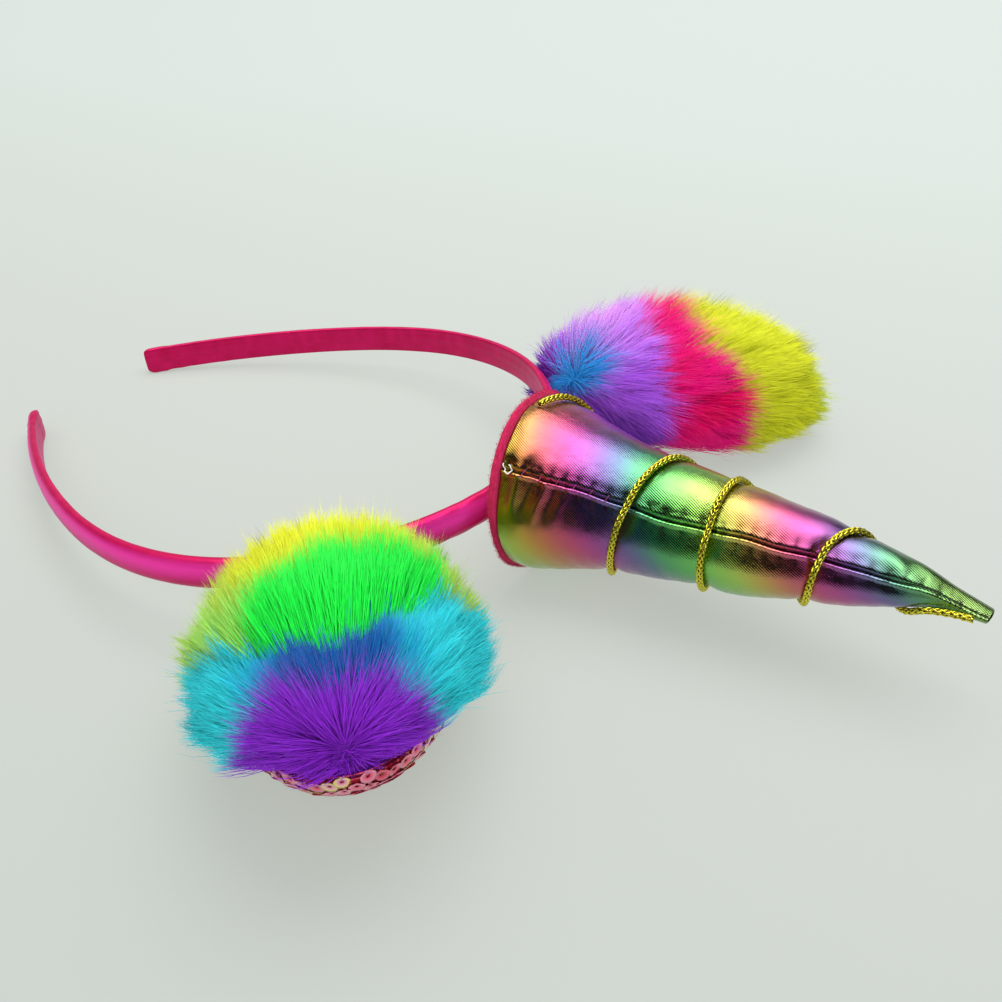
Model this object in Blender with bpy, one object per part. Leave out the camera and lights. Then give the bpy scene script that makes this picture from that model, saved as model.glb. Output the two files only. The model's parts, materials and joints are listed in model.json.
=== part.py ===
"""Unicorn horn headband, lying on its side as on a table.

A C-shaped band wound in satin carries a stuffed horn on a round of felt and two fluffy ears.
The band is built flat with its crown at the origin, the horn along +X and the wearer's left
towards +Y. An empty then tilts it, so that the felt and the band's two ends touch the table.
"""

import math
import random

import bmesh
import bpy
from mathutils import Matrix, Vector

# Gaps between pieces, in metres as every length here
gap = 0.0003
table_gap = 0.0002
# Edges that bend by more than this stay sharp when a piece is shaded smooth
sharp_angle = math.radians(40.0)

# Band
band_width = 0.008
band_thickness = 0.0032
band_half_length = 0.2011
band_half_bend = math.radians(135.0)
band_steps = 36
band_sum_steps = 240
band_end_length = 0.0016
band_end_taper = 0.72
# How sharply the band bends from its crown to its end, at equal steps
band_bend_profile = (0.94, 0.57, 0.84, 0.76, 0.31, 0.25, 0.38)
# Outline of the band's section: (share of half the width, share of half the thickness)
band_section = (
    (-0.90, -1.00),
    (0.90, -1.00),
    (1.00, -0.65),
    (0.96, 0.05),
    (0.72, 0.62),
    (0.36, 0.92),
    (-0.36, 0.92),
    (-0.72, 0.62),
    (-0.96, 0.05),
    (-1.00, -0.65),
)

# Felt round behind the horn
disc_radius = 0.0219
disc_thickness = 0.0018
disc_sides = 48
disc_edge = 0.0004

# Horn
horn_length = 0.102
horn_radius = 0.0208
horn_rings = 44
horn_sides = 36
horn_seam_angle = math.radians(37.0)
horn_seam_spread = math.radians(14.0)
horn_seam_depth = 0.0007
# Share of the base radius below which the horn's dents grow fainter towards its tip
horn_fade_radius = 0.4
# Stations along the horn: (share of its length, radius as a share of the base radius,
# droop as a share of the length, height over width of the section)
horn_stations = (
    (0.000, 0.960, 0.000, 1.00),
    (0.025, 1.000, 0.002, 1.00),
    (0.080, 0.930, 0.007, 1.00),
    (0.157, 0.810, 0.015, 1.00),
    (0.275, 0.700, 0.030, 1.00),
    (0.392, 0.630, 0.039, 1.00),
    (0.510, 0.575, 0.050, 1.00),
    (0.627, 0.475, 0.057, 1.00),
    (0.745, 0.365, 0.065, 1.00),
    (0.863, 0.232, 0.072, 0.92),
    (0.940, 0.155, 0.089, 0.72),
    (1.000, 0.120, 0.107, 0.48),
)

# Gold cord round the horn
cord_diameter = 0.002
cord_gap = 0.00045
cord_points = 78
cord_samples = 900
cord_bevel_resolution = 2
cord_press = 0.0011
cord_press_reach = 0.0042
# Winding of the cord: (degrees turned from the near side over the top, share of the horn's length)
cord_winding = (
    (88.0, 0.022),
    (150.0, 0.070),
    (309.0, 0.224),
    (399.0, 0.278),
    (462.0, 0.318),
    (669.0, 0.435),
    (768.0, 0.456),
    (843.0, 0.468),
    (1029.0, 0.651),
    (1131.0, 0.686),
    (1203.0, 0.735),
    (1410.0, 0.878),
    (1446.0, 0.975),
)

# Ears
ear_length = 0.087
ear_width = 0.060
ear_arc = 0.056
fur_height = 0.029
fur_skirt = 0.013
# How far the fur's outline stands out beyond the pad at the ear's sides, tip and root
side_rim = 0.0085
tip_rim = 0.0045
root_rim = 0.003
pad_back = 0.013
pad_front = 0.011
ear_taper = 0.10
lock_cuts = 6
lock_waist = 0.50
lock_gather = 0.20
lock_comb = 0.32
lock_droop = 0.16
lock_spread = 0.16
panel_thickness = 0.0012
panel_inset = 0.985
panel_edge_height = 0.45
channel_depth = 0.030
channel_steps = 24
lock_clearance = 0.0012
lock_samples = 6
# One row an ear: (side of the head, side sign, reach from the band as a share of the length,
# turn towards the horn in degrees, lift of the outer end in degrees, seed of its locks)
ears = (
    ("left", 1, 0.465, 12.0, -10.0, 11),
    ("right", -1, 0.385, 0.5, 14.0, 23),
)


def clear_scene():
    for obj in list(bpy.data.objects):
        bpy.data.objects.remove(obj)


def material(name, colour, roughness, metallic=0.0):
    mat = bpy.data.materials.new(name)
    mat.use_nodes = True
    shader = mat.node_tree.nodes["Principled BSDF"]
    shader.inputs["Base Color"].default_value = (*colour, 1.0)
    shader.inputs["Roughness"].default_value = roughness
    shader.inputs["Metallic"].default_value = metallic
    return mat


def mesh_object(name, bm, mat, parent):
    """Turn a bmesh into a smooth-shaded object that stands on the tilted band."""
    bmesh.ops.recalc_face_normals(bm, faces=bm.faces)
    mesh = bpy.data.meshes.new(name)
    bm.to_mesh(mesh)
    bm.free()
    mesh.shade_smooth()
    mesh.set_sharp_from_angle(angle=sharp_angle)
    mesh.materials.append(mat)
    obj = bpy.data.objects.new(name, mesh)
    bpy.context.collection.objects.link(obj)
    obj.parent = parent
    return obj


def smooth_table(rows, column, at):
    """Read a column of a table at a place given by its first column, on a curve with no overshoot."""
    xs = [row[0] for row in rows]
    ys = [row[column] for row in rows]
    if at <= xs[0]:
        return ys[0]
    if at >= xs[-1]:
        return ys[-1]
    k = max(i for i in range(len(xs) - 1) if xs[i] <= at)
    rises = [(ys[i + 1] - ys[i]) / (xs[i + 1] - xs[i]) for i in range(len(xs) - 1)]

    def slope(i):
        if i == 0 or i == len(xs) - 1:
            return rises[min(i, len(rises) - 1)]
        before = rises[i - 1]
        after = rises[i]
        if before * after <= 0.0:
            return 0.0
        return 2.0 * before * after / (before + after)

    span = xs[k + 1] - xs[k]
    t = (at - xs[k]) / span
    start = ys[k] * (1 + 2 * t) * (1 - t) ** 2 + slope(k) * span * t * (1 - t) ** 2
    end = ys[k + 1] * t * t * (3 - 2 * t) - slope(k + 1) * span * t * t * (1 - t)
    return start + end


# Band


def band_curvature(share):
    """Bend for each metre of band, at a share of the way from the crown to an end."""
    steps = len(band_bend_profile) - 1
    place = min(share, 1.0) * steps
    k = min(int(place), steps - 1)
    t = place - k
    level = band_bend_profile[k] * (1 - t) + band_bend_profile[k + 1] * t
    mean = (sum(band_bend_profile) - (band_bend_profile[0] + band_bend_profile[-1]) / 2) / steps
    return band_half_bend / band_half_length * level / mean


def band_place(arc):
    """Centre of the band and the angle of its outward normal from +X, at a signed arc length."""
    side = 1 if arc >= 0 else -1
    step = abs(arc) / band_sum_steps
    x = 0.0
    y = 0.0
    angle = 0.0
    for i in range(band_sum_steps):
        bend = band_curvature((i + 0.5) * step / band_half_length) * step
        x -= math.sin(angle + bend / 2) * step
        y += math.cos(angle + bend / 2) * step
        angle += bend
    return Vector((x, side * y, 0.0)), side * angle


def sweep_band(bm, arcs, section):
    """Sweep a section of (height, outward) pairs along the band and cap its ends."""
    rings = []
    for arc, size in arcs:
        centre, angle = band_place(arc)
        outward = Vector((math.cos(angle), math.sin(angle), 0.0))
        ring = []
        for up, out in section:
            ring.append(bm.verts.new(centre + outward * (out * size) + Vector((0.0, 0.0, up * size))))
        rings.append(ring)
    for a, b in zip(rings, rings[1:]):
        for i in range(len(a)):
            j = (i + 1) % len(a)
            bm.faces.new((a[i], a[j], b[j], b[i]))
    bm.faces.new(rings[0])
    bm.faces.new(reversed(rings[-1]))


def make_band(parent):
    """Satin band. Its stations are even about the crown, so that a flat facet lies at the crown."""
    straight = band_half_length - band_end_length
    count = 2 * band_steps
    stations = [(-band_half_length, band_end_taper)]
    for i in range(count):
        stations.append((straight * (2 * i + 1 - count) / (count - 1), 1.0))
    stations.append((band_half_length, band_end_taper))
    section = [(up * band_width / 2, out * band_thickness / 2) for up, out in band_section]
    bm = bmesh.new()
    sweep_band(bm, stations, section)
    satin = material("pink satin", (0.72, 0.012, 0.13), 0.35)
    return mesh_object("headband", bm, satin, parent)


def channel_reach():
    """How far along the band from its crown the channels run."""
    return ear_arc + ear_width


def make_channels(parent):
    """Cutters of the channels where the band crosses the roots of the ears."""
    outer = band_thickness / 2 + gap
    height = band_width / 2 + gap
    section = ((-height, -channel_depth), (height, -channel_depth), (height, outer), (-height, outer))
    for name, side in (("left", 1), ("right", -1)):
        arcs = [(side * channel_reach() * i / channel_steps, 1.0) for i in range(1, channel_steps + 1)]
        bm = bmesh.new()
        sweep_band(bm, arcs, section)
        cutter = mesh_object("channel_cutter_" + name, bm, cutter_material(), parent)
        cutter.hide_render = True
        cutter.display_type = "WIRE"


def cutter_material():
    return bpy.data.materials.get("cutter") or material("cutter", (0.5, 0.5, 0.5), 0.5)


# Felt round


def disc_back():
    return band_thickness / 2 + gap


def make_disc(parent):
    bm = bmesh.new()
    profile = (
        (0.0, disc_radius - disc_edge),
        (disc_edge, disc_radius),
        (disc_thickness - disc_edge, disc_radius),
        (disc_thickness, disc_radius - disc_edge),
    )
    rings = []
    for x, radius in profile:
        ring = []
        for i in range(disc_sides):
            angle = 2 * math.pi * i / disc_sides
            ring.append(bm.verts.new((disc_back() + x, math.cos(angle) * radius, math.sin(angle) * radius)))
        rings.append(ring)
    join_rings(bm, rings)
    felt = material("pink felt", (0.60, 0.02, 0.16), 0.95)
    return mesh_object("horn_base_disc", bm, felt, parent)


def join_rings(bm, rings):
    """Skin a row of equal rings and cap both ends."""
    for a, b in zip(rings, rings[1:]):
        for i in range(len(a)):
            j = (i + 1) % len(a)
            bm.faces.new((a[i], a[j], b[j], b[i]))
    bm.faces.new(rings[0])
    bm.faces.new(reversed(rings[-1]))


# Horn


def horn_base():
    return disc_back() + disc_thickness + gap


def cord_share(degrees):
    return smooth_table(cord_winding, 1, degrees)


def cord_distance(share, angle):
    """Distance along the horn from a place on it to the nearest turn of the cord."""
    turned = math.degrees(angle) % 360.0
    nearest = horn_length
    while turned <= cord_winding[-1][0]:
        if turned >= cord_winding[0][0]:
            nearest = min(nearest, abs(cord_share(turned) - share) * horn_length)
        turned += 360.0
    return nearest


def horn_point(share, angle, lift=0.0):
    """Point on the horn, with the angle measured from the near side (-Y) over the top."""
    radius = horn_radius * smooth_table(horn_stations, 1, share)
    droop = horn_length * smooth_table(horn_stations, 2, share)
    flat = smooth_table(horn_stations, 3, share)
    press = cord_press * math.exp(-((cord_distance(share, angle) / cord_press_reach) ** 2))
    seam_turn = (angle - horn_seam_angle + math.pi) % (2 * math.pi) - math.pi
    seam = horn_seam_depth * math.exp(-((seam_turn / horn_seam_spread) ** 2))
    fade = min(1.0, radius / (horn_fade_radius * horn_radius))
    reach = radius - (press + seam) * fade + lift
    y = -math.cos(angle) * reach
    z = math.sin(angle) * reach * (flat + (1 - flat) * min(1.0, lift / reach))
    return Vector((horn_base() + share * horn_length, y, z - droop))


def make_horn(parent):
    bm = bmesh.new()
    rings = []
    for k in range(horn_rings):
        share = k / (horn_rings - 1)
        ring = [bm.verts.new(horn_point(share, 2 * math.pi * i / horn_sides)) for i in range(horn_sides)]
        rings.append(ring)
    join_rings(bm, rings)
    lame = material("rainbow foil cloth", (0.42, 0.20, 0.45), 0.30, 1.0)
    return mesh_object("horn", bm, lame, parent)


def cord_route():
    """Centre of the cord, at equal steps of its own length."""
    first = cord_winding[0][0]
    last = cord_winding[-1][0]
    lift = cord_diameter / 2 + cord_gap
    places = []
    for i in range(cord_samples + 1):
        degrees = first + (last - first) * i / cord_samples
        places.append(horn_point(cord_share(degrees), math.radians(degrees), lift))
    lengths = [0.0]
    for a, b in zip(places, places[1:]):
        lengths.append(lengths[-1] + (b - a).length)
    route = []
    k = 0
    for i in range(cord_points):
        wanted = lengths[-1] * i / (cord_points - 1)
        while k < cord_samples - 1 and lengths[k + 1] < wanted:
            k += 1
        t = (wanted - lengths[k]) / (lengths[k + 1] - lengths[k])
        route.append(places[k].lerp(places[k + 1], t))
    return route


def make_cord(parent):
    curve = bpy.data.curves.new("horn_cord", "CURVE")
    curve.dimensions = "3D"
    curve.bevel_depth = cord_diameter / 2
    curve.bevel_resolution = cord_bevel_resolution
    curve.use_fill_caps = True
    route = cord_route()
    spline = curve.splines.new("POLY")
    spline.points.add(len(route) - 1)
    for point, place in zip(spline.points, route):
        point.co = (*place, 1.0)
    curve.materials.append(material("gold braid", (0.75, 0.50, 0.06), 0.35, 1.0))
    cord = bpy.data.objects.new("horn_cord", curve)
    bpy.context.collection.objects.link(cord)
    cord.parent = parent
    return cord


# Ears


def ear_surface(direction, length, width, back, front):
    """Point of an egg-shaped shell in the given direction, with its outer end along +X."""
    height = back if direction.z > 0 else front
    narrow = 1.0 - ear_taper * direction.x
    return Vector((direction.x * length, direction.y * width * narrow, direction.z * height))


def pad_length(direction):
    """Half length of the pad towards its tip or its root."""
    return ear_length / 2 - (tip_rim if direction.x > 0 else root_rim)


def pad_width():
    return ear_width / 2 - side_rim


def pad_point(direction):
    return ear_surface(direction, pad_length(direction), pad_width(), pad_back, pad_front)


def fur_point(direction):
    return ear_surface(direction, ear_length / 2, ear_width / 2, fur_height, fur_skirt)


def ear_grid():
    """Directions and faces of a box with a grid on every side, whose underside is the front panel."""
    bm = bmesh.new()
    bmesh.ops.create_cube(bm, size=2.0)
    bmesh.ops.subdivide_edges(bm, edges=bm.edges, cuts=lock_cuts - 1, use_grid_fill=True)
    bm.normal_update()
    bm.faces.index_update()
    under = {face.index for face in bm.faces if round(face.normal.z) == -1}
    bm.verts.index_update()
    directions = []
    for vert in bm.verts:
        place = vert.co.copy()
        if place.z < 0:
            place.z *= panel_edge_height
        directions.append(place.normalized())
    faces = [[vert.index for vert in face.verts] for face in bm.faces]
    bm.free()
    return directions, faces, under


def channel_stations(side):
    """Places along the band beside an ear, with the outward direction at each."""
    stations = []
    for i in range(1, channel_steps + 1):
        centre, angle = band_place(side * channel_reach() * i / channel_steps)
        stations.append((centre, Vector((math.cos(angle), math.sin(angle), 0.0))))
    return stations


def meets_channel(stations, spot):
    """Whether a spot lies in the room that the band needs, or so near that a lock there would be cut."""
    centre, outward = min(stations, key=lambda station: (spot - station[0]).length_squared)
    beyond = (spot - centre).dot(outward) - band_thickness / 2
    return beyond < lock_clearance and abs(spot.z) < band_width / 2 + lock_clearance


def add_lock(bm, roots, directions, rng, place, stations):
    """Raise one pointed lock of fur from a face of the pad, unless the band is in its way."""
    middle = sum(directions, Vector()).normalized()
    root = sum((vert.co for vert in roots), Vector()) / len(roots)
    reach = 1.0 + rng.uniform(-lock_spread, lock_spread)
    tip = root.lerp(fur_point(middle), reach)
    length = (tip - root).length
    lean = Vector((lock_comb, rng.uniform(-lock_spread, lock_spread), -lock_droop)) * length
    samples = [root.lerp(tip + lean, i / lock_samples) for i in range(1, lock_samples + 1)]
    if any(meets_channel(stations, place @ sample) for sample in samples):
        bm.faces.new(roots)
        return
    waist = []
    for vert, direction in zip(roots, directions):
        waist.append(vert.co.lerp(fur_point(direction), lock_waist) + lean * lock_waist ** 2)
    centre = sum(waist, Vector()) / len(waist)
    ring = [bm.verts.new(place.lerp(centre, lock_gather)) for place in waist]
    top = bm.verts.new(tip + lean)
    for i in range(len(roots)):
        j = (i + 1) % len(roots)
        bm.faces.new((roots[i], roots[j], ring[j], ring[i]))
        bm.faces.new((ring[i], ring[j], top))


def fur_mesh(seed, place, stations):
    """Pad with its locks of fur, as one closed mesh with a bare underside for the panel."""
    rng = random.Random(seed)
    directions, faces, under = ear_grid()
    bm = bmesh.new()
    verts = [bm.verts.new(pad_point(direction)) for direction in directions]
    for index, corners in enumerate(faces):
        roots = [verts[i] for i in corners]
        if index in under:
            bm.faces.new(roots)
        else:
            add_lock(bm, roots, [directions[i] for i in corners], rng, place, stations)
    return bm


def pad_normal(direction):
    """Outward normal of the pad's underside."""
    place = pad_point(direction)
    slope = (place.x / pad_length(direction) ** 2, place.y / pad_width() ** 2, place.z / pad_front**2)
    return Vector(slope).normalized()


def panel_direction(direction):
    """Direction of a point of the panel, drawn in a little from the pad's rim."""
    return Vector((direction.x * panel_inset, direction.y * panel_inset, direction.z)).normalized()


def panel_mesh():
    """Curved front panel, a thin shell that follows the underside of the pad."""
    directions, faces, under = ear_grid()
    bm = bmesh.new()
    layers = []
    for offset in (gap, gap + panel_thickness):
        layer = {}
        for index in under:
            for i in faces[index]:
                if i not in layer:
                    inset = panel_direction(directions[i])
                    layer[i] = bm.verts.new(pad_point(inset) + pad_normal(inset) * offset)
        layers.append(layer)
    inner, outer = layers
    borders = {}
    for index in under:
        corners = faces[index]
        bm.faces.new([inner[i] for i in corners])
        bm.faces.new([outer[i] for i in reversed(corners)])
        for i, j in zip(corners, corners[1:] + corners[:1]):
            if (j, i) in borders:
                del borders[(j, i)]
            else:
                borders[(i, j)] = True
    for i, j in borders:
        bm.faces.new((inner[i], inner[j], outer[j], outer[i]))
    return bm


def ear_matrix(side, reach, turn, lift):
    """Frame of an ear on the flat band: +X outwards, +Z to the back of the ear."""
    root, angle = band_place(side * ear_arc)
    yaw = angle - side * math.radians(turn)
    facing = Matrix.Rotation(yaw, 4, "Z") @ Matrix.Rotation(-math.radians(lift), 4, "Y")
    return Matrix.Translation(root) @ facing @ Matrix.Translation((reach * ear_length, 0.0, 0.0))


def rise_to_clear(meshes, place, pitch, table_height):
    """How far an ear rises square to the band, for its lowest point just to clear the table."""
    tilted = Matrix.Rotation(-pitch, 4, "Y") @ place
    lowest = min((tilted @ vert.co).z for bm in meshes for vert in bm.verts)
    return (table_height + table_gap - lowest) / math.cos(pitch)


def make_ears(parent, pitch, table_height):
    """Both ears, each set at the height where its lowest lock just clears the table."""
    fur = material("rainbow fur", (0.35, 0.30, 0.62), 0.90)
    sequins = material("pink sequins", (0.80, 0.12, 0.22), 0.25, 0.8)
    for name, side, reach, turn, lift, seed in ears:
        place = ear_matrix(side, reach, turn, lift)
        stations = channel_stations(side)
        front = panel_mesh()
        # Locks depend on where the band passes, so they are drafted, and grown where the ear ends up
        draft = fur_mesh(seed, place, stations)
        rise = rise_to_clear((draft, front), place, pitch, table_height)
        draft.free()
        place = Matrix.Translation((0.0, 0.0, rise)) @ place
        locks = fur_mesh(seed, place, stations)
        ear = mesh_object("ear_" + name + "_fur", locks, fur, parent)
        ear.matrix_local = place
        cut = ear.modifiers.new("channel", "BOOLEAN")
        cut.operation = "DIFFERENCE"
        cut.object = bpy.data.objects["channel_cutter_" + name]
        panel = mesh_object("ear_" + name + "_panel", front, sequins, parent)
        panel.matrix_local = place


# Lying on the table


def resting_pitch():
    """Tilt at which the felt's lower edge and the band's ends touch one plane."""
    end, _ = band_place(band_half_length)
    run = disc_back() + disc_edge - end.x
    rise = disc_radius - band_width / 2
    return math.atan2(rise, run)


def set_on_table(frame):
    """Move the whole so that the middle of the underside of its box is the origin."""
    bpy.context.view_layer.update()
    graph = bpy.context.evaluated_depsgraph_get()
    low = Vector((math.inf,) * 3)
    high = Vector((-math.inf,) * 3)
    for obj in bpy.data.objects:
        if obj.type not in {"MESH", "CURVE"} or obj.hide_render:
            continue
        shown = obj.evaluated_get(graph)
        mesh = shown.to_mesh()
        for vert in mesh.vertices:
            place = shown.matrix_world @ vert.co
            for k in range(3):
                low[k] = min(low[k], place[k])
                high[k] = max(high[k], place[k])
        shown.to_mesh_clear()
    frame.location = (-(low.x + high.x) / 2, -(low.y + high.y) / 2, -low.z)


def main():
    clear_scene()
    pitch = resting_pitch()
    frame = bpy.data.objects.new("lying_frame", None)
    bpy.context.collection.objects.link(frame)
    frame.rotation_euler = (0.0, -pitch, 0.0)
    make_band(frame)
    make_disc(frame)
    make_horn(frame)
    make_cord(frame)
    make_channels(frame)
    table_height = (disc_back() + disc_edge) * math.sin(pitch) - disc_radius * math.cos(pitch)
    make_ears(frame, pitch, table_height)
    set_on_table(frame)


main()
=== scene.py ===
"""Looks of the unicorn horn headband: satin, foil cloth, braid, felt, sequins and long fur.

Lengths are in metres. Shapes are worked out on the flat band, whose crown is the origin, with
the horn along +X and the wearer's left towards +Y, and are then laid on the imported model.
"""

import json
import math

import bpy
import numpy as np
from mathutils import Matrix, Vector
from mathutils.kdtree import KDTree


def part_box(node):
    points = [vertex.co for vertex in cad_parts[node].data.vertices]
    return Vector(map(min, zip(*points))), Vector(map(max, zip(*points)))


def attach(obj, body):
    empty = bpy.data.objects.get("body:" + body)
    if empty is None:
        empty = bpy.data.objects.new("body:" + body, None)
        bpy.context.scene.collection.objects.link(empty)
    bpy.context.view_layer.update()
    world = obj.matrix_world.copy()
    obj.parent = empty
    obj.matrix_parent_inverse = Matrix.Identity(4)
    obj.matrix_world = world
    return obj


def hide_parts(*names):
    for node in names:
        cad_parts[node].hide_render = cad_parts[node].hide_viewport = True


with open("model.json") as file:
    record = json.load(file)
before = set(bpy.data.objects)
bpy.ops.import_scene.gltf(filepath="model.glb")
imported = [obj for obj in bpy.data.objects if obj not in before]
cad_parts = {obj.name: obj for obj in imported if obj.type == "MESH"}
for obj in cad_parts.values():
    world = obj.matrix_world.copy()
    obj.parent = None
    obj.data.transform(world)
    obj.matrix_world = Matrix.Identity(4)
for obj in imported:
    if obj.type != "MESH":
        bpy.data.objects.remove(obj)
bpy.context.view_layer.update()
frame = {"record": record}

# Band
band_width = 0.008
band_thickness = 0.0032
band_half_length = 0.2011
band_half_bend = math.radians(135.0)
band_bend_profile = (0.94, 0.57, 0.84, 0.76, 0.31, 0.25, 0.38)
band_section = (
    (-0.90, -1.00),
    (0.90, -1.00),
    (1.00, -0.65),
    (0.96, 0.05),
    (0.72, 0.62),
    (0.36, 0.92),
    (-0.36, 0.92),
    (-0.72, 0.62),
    (-0.96, 0.05),
    (-1.00, -0.65),
)
band_stations = 370
band_end_round = 0.0026
band_end_size = 0.60
band_end_rings = 10
wrap_length = 0.0068
wrap_thickness = 0.0002

# Felt round
gap = 0.0003
disc_radius = 0.0219
disc_thickness = 0.0018

# Horn
horn_length = 0.102
horn_radius = 0.0208
horn_seam_angle = math.radians(37.0)
horn_seam_spread = math.radians(14.0)
horn_seam_depth = 0.0007
# Stations along the horn: (share of its length, radius as a share of the base radius,
# droop as a share of the length, height over width of the section)
horn_stations = (
    (0.000, 0.995, 0.000, 1.00),
    (0.025, 1.000, 0.002, 1.00),
    (0.080, 0.930, 0.007, 1.00),
    (0.157, 0.810, 0.015, 1.00),
    (0.275, 0.700, 0.030, 1.00),
    (0.392, 0.630, 0.039, 1.00),
    (0.510, 0.575, 0.050, 1.00),
    (0.627, 0.475, 0.057, 1.00),
    (0.745, 0.365, 0.065, 1.00),
    (0.863, 0.232, 0.072, 0.92),
    (0.940, 0.155, 0.089, 0.72),
    (1.000, 0.120, 0.107, 0.48),
)
# Pleats gathered below the seam near the base: (distance along the horn, height, width)
horn_pleats = (
    (0.0040, 0.00060, 0.0010),
    (0.0064, -0.00045, 0.0010),
    (0.0093, 0.00055, 0.0009),
    (0.0117, -0.00035, 0.0012),
    (0.0148, 0.00022, 0.0011),
)
horn_rows = 256
horn_columns = 192
stitch_spacing = 0.0036

# Cord
cord_clearance = 0.0006
cord_press = 0.0011
cord_press_reach = 0.0042
# Winding of the cord: (degrees turned from the near side over the top, share of the horn's length)
cord_winding = (
    (88.0, 0.022),
    (150.0, 0.070),
    (309.0, 0.224),
    (399.0, 0.278),
    (462.0, 0.318),
    (669.0, 0.435),
    (768.0, 0.456),
    (843.0, 0.468),
    (1029.0, 0.651),
    (1131.0, 0.686),
    (1203.0, 0.735),
    (1410.0, 0.878),
    (1446.0, 0.975),
)
braid_radius = 0.00074
braid_strands = 4
braid_lay = 0.0066
braid_steps = 14
strand_radius = 0.00020

# Ears
ear_length = 0.087
ear_width = 0.060
ear_arc = 0.056
fur_height = 0.029
fur_skirt = 0.013
side_rim = 0.0085
tip_rim = 0.0045
root_rim = 0.003
pad_back = 0.013
pad_front = 0.011
ear_taper = 0.10
panel_inset = 0.985
panel_thickness = 0.0012
panel_edge_height = 0.45
panel_steps = 6
table_clearance = 0.0002
fur_lowest = -0.12
# How much fuller the front of each ear is stuffed at its tip than the plain pad
front_bulges = {"left": 0.0, "right": 0.0015}
fur_coats = (1, 2)
fur_strands = {"left": 28000, "right": 33000}
tufts = 800
loose_share = 0.05
strand_widths = (0.00011, 0.00018)
# One row an ear: (side of the head, side sign, reach from the band as a share of the length,
# turn towards the horn in degrees, lift of the outer end in degrees)
ears = (
    ("left", 1, 0.465, 12.0, -10.0),
    ("right", -1, 0.385, 0.5, 14.0),
)


# Tables and noise


def smooth_column(rows, column, at):
    """Read a column of a table at many places, on a curve with no overshoot."""
    xs = np.array([row[0] for row in rows])
    ys = np.array([row[column] for row in rows])
    rises = np.diff(ys) / np.diff(xs)
    before = rises[:-1]
    after = rises[1:]
    total = np.where(before + after == 0.0, 1.0, before + after)
    inner = np.where(before * after > 0.0, 2.0 * before * after / total, 0.0)
    slopes = np.concatenate([rises[:1], inner, rises[-1:]])
    at = np.clip(at, xs[0], xs[-1])
    k = np.clip(np.searchsorted(xs, at, side="right") - 1, 0, len(xs) - 2)
    span = xs[k + 1] - xs[k]
    t = (at - xs[k]) / span
    start = ys[k] * (1 + 2 * t) * (1 - t) ** 2 + slopes[k] * span * t * (1 - t) ** 2
    end = ys[k + 1] * t * t * (3 - 2 * t) - slopes[k + 1] * span * t * t * (1 - t)
    return start + end


def smooth_noise(points, size, seed, waves=9):
    """Smooth random field of about -1 to 1 over points, with features of about the given size."""
    rng = np.random.default_rng(seed)
    directions = rng.normal(size=(points.shape[-1], waves)) * (2.2 / size)
    phases = rng.uniform(0.0, 2 * math.pi, waves)
    return np.sin(points @ directions + phases).sum(-1) / waves**0.5


def bump_at(distance, width):
    """Bell that is 1 at no distance and falls away over the given width."""
    return np.exp(-((distance / width) ** 2))


def ease(value, low, high):
    """Smooth step from 0 at low to 1 at high."""
    t = np.clip((value - low) / (high - low), 0.0, 1.0)
    return t * t * (3 - 2 * t)


def unit(vectors):
    return vectors / np.maximum(np.linalg.norm(vectors, axis=-1, keepdims=True), 1e-12)


def running_total(values, along):
    steps = (values[1:] + values[:-1]) / 2 * np.diff(along)
    return np.concatenate([[0.0], np.cumsum(steps)])


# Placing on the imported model


def flat_frame():
    """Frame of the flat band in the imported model, from the mount inside its crown."""
    mount = frame["record"]["mounts"][0]
    outward = -Vector(mount["axis"]).normalized()
    across = Vector((0.0, 1.0, 0.0))
    matrix = Matrix((outward, across, outward.cross(across))).transposed().to_4x4()
    matrix.translation = Vector(mount["pos_m"]) + outward * band_thickness / 2
    return np.array(matrix)


def moved(matrix, points):
    return points @ matrix[:3, :3].T + matrix[:3, 3]


band_frame = flat_frame()


# Meshes


def grid_faces(rows, columns, start=0, closed=True):
    """Quads between rows of points, each row closed into a ring or left open."""
    spans = columns if closed else columns - 1
    row = np.arange(rows - 1)[:, None] * columns
    column = np.arange(spans)[None]
    after = (column + 1) % columns
    quads = np.stack([row + column, row + after, row + columns + after, row + columns + column], -1)
    return quads.reshape(-1, 4) + start


def cap_faces(rows, columns, start=0):
    """Polygons that close the first and the last ring."""
    first = np.arange(columns)[::-1] + start
    last = np.arange(columns) + start + (rows - 1) * columns
    return np.stack([first, last])


def signed_volume(points, faces):
    total = 0.0
    for block in faces:
        corner = points[block[:, 0]]
        for k in range(1, block.shape[1] - 1):
            spread = np.cross(points[block[:, k]], points[block[:, k + 1]])
            total += np.einsum("ij,ij->", corner, spread)
    return total


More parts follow.
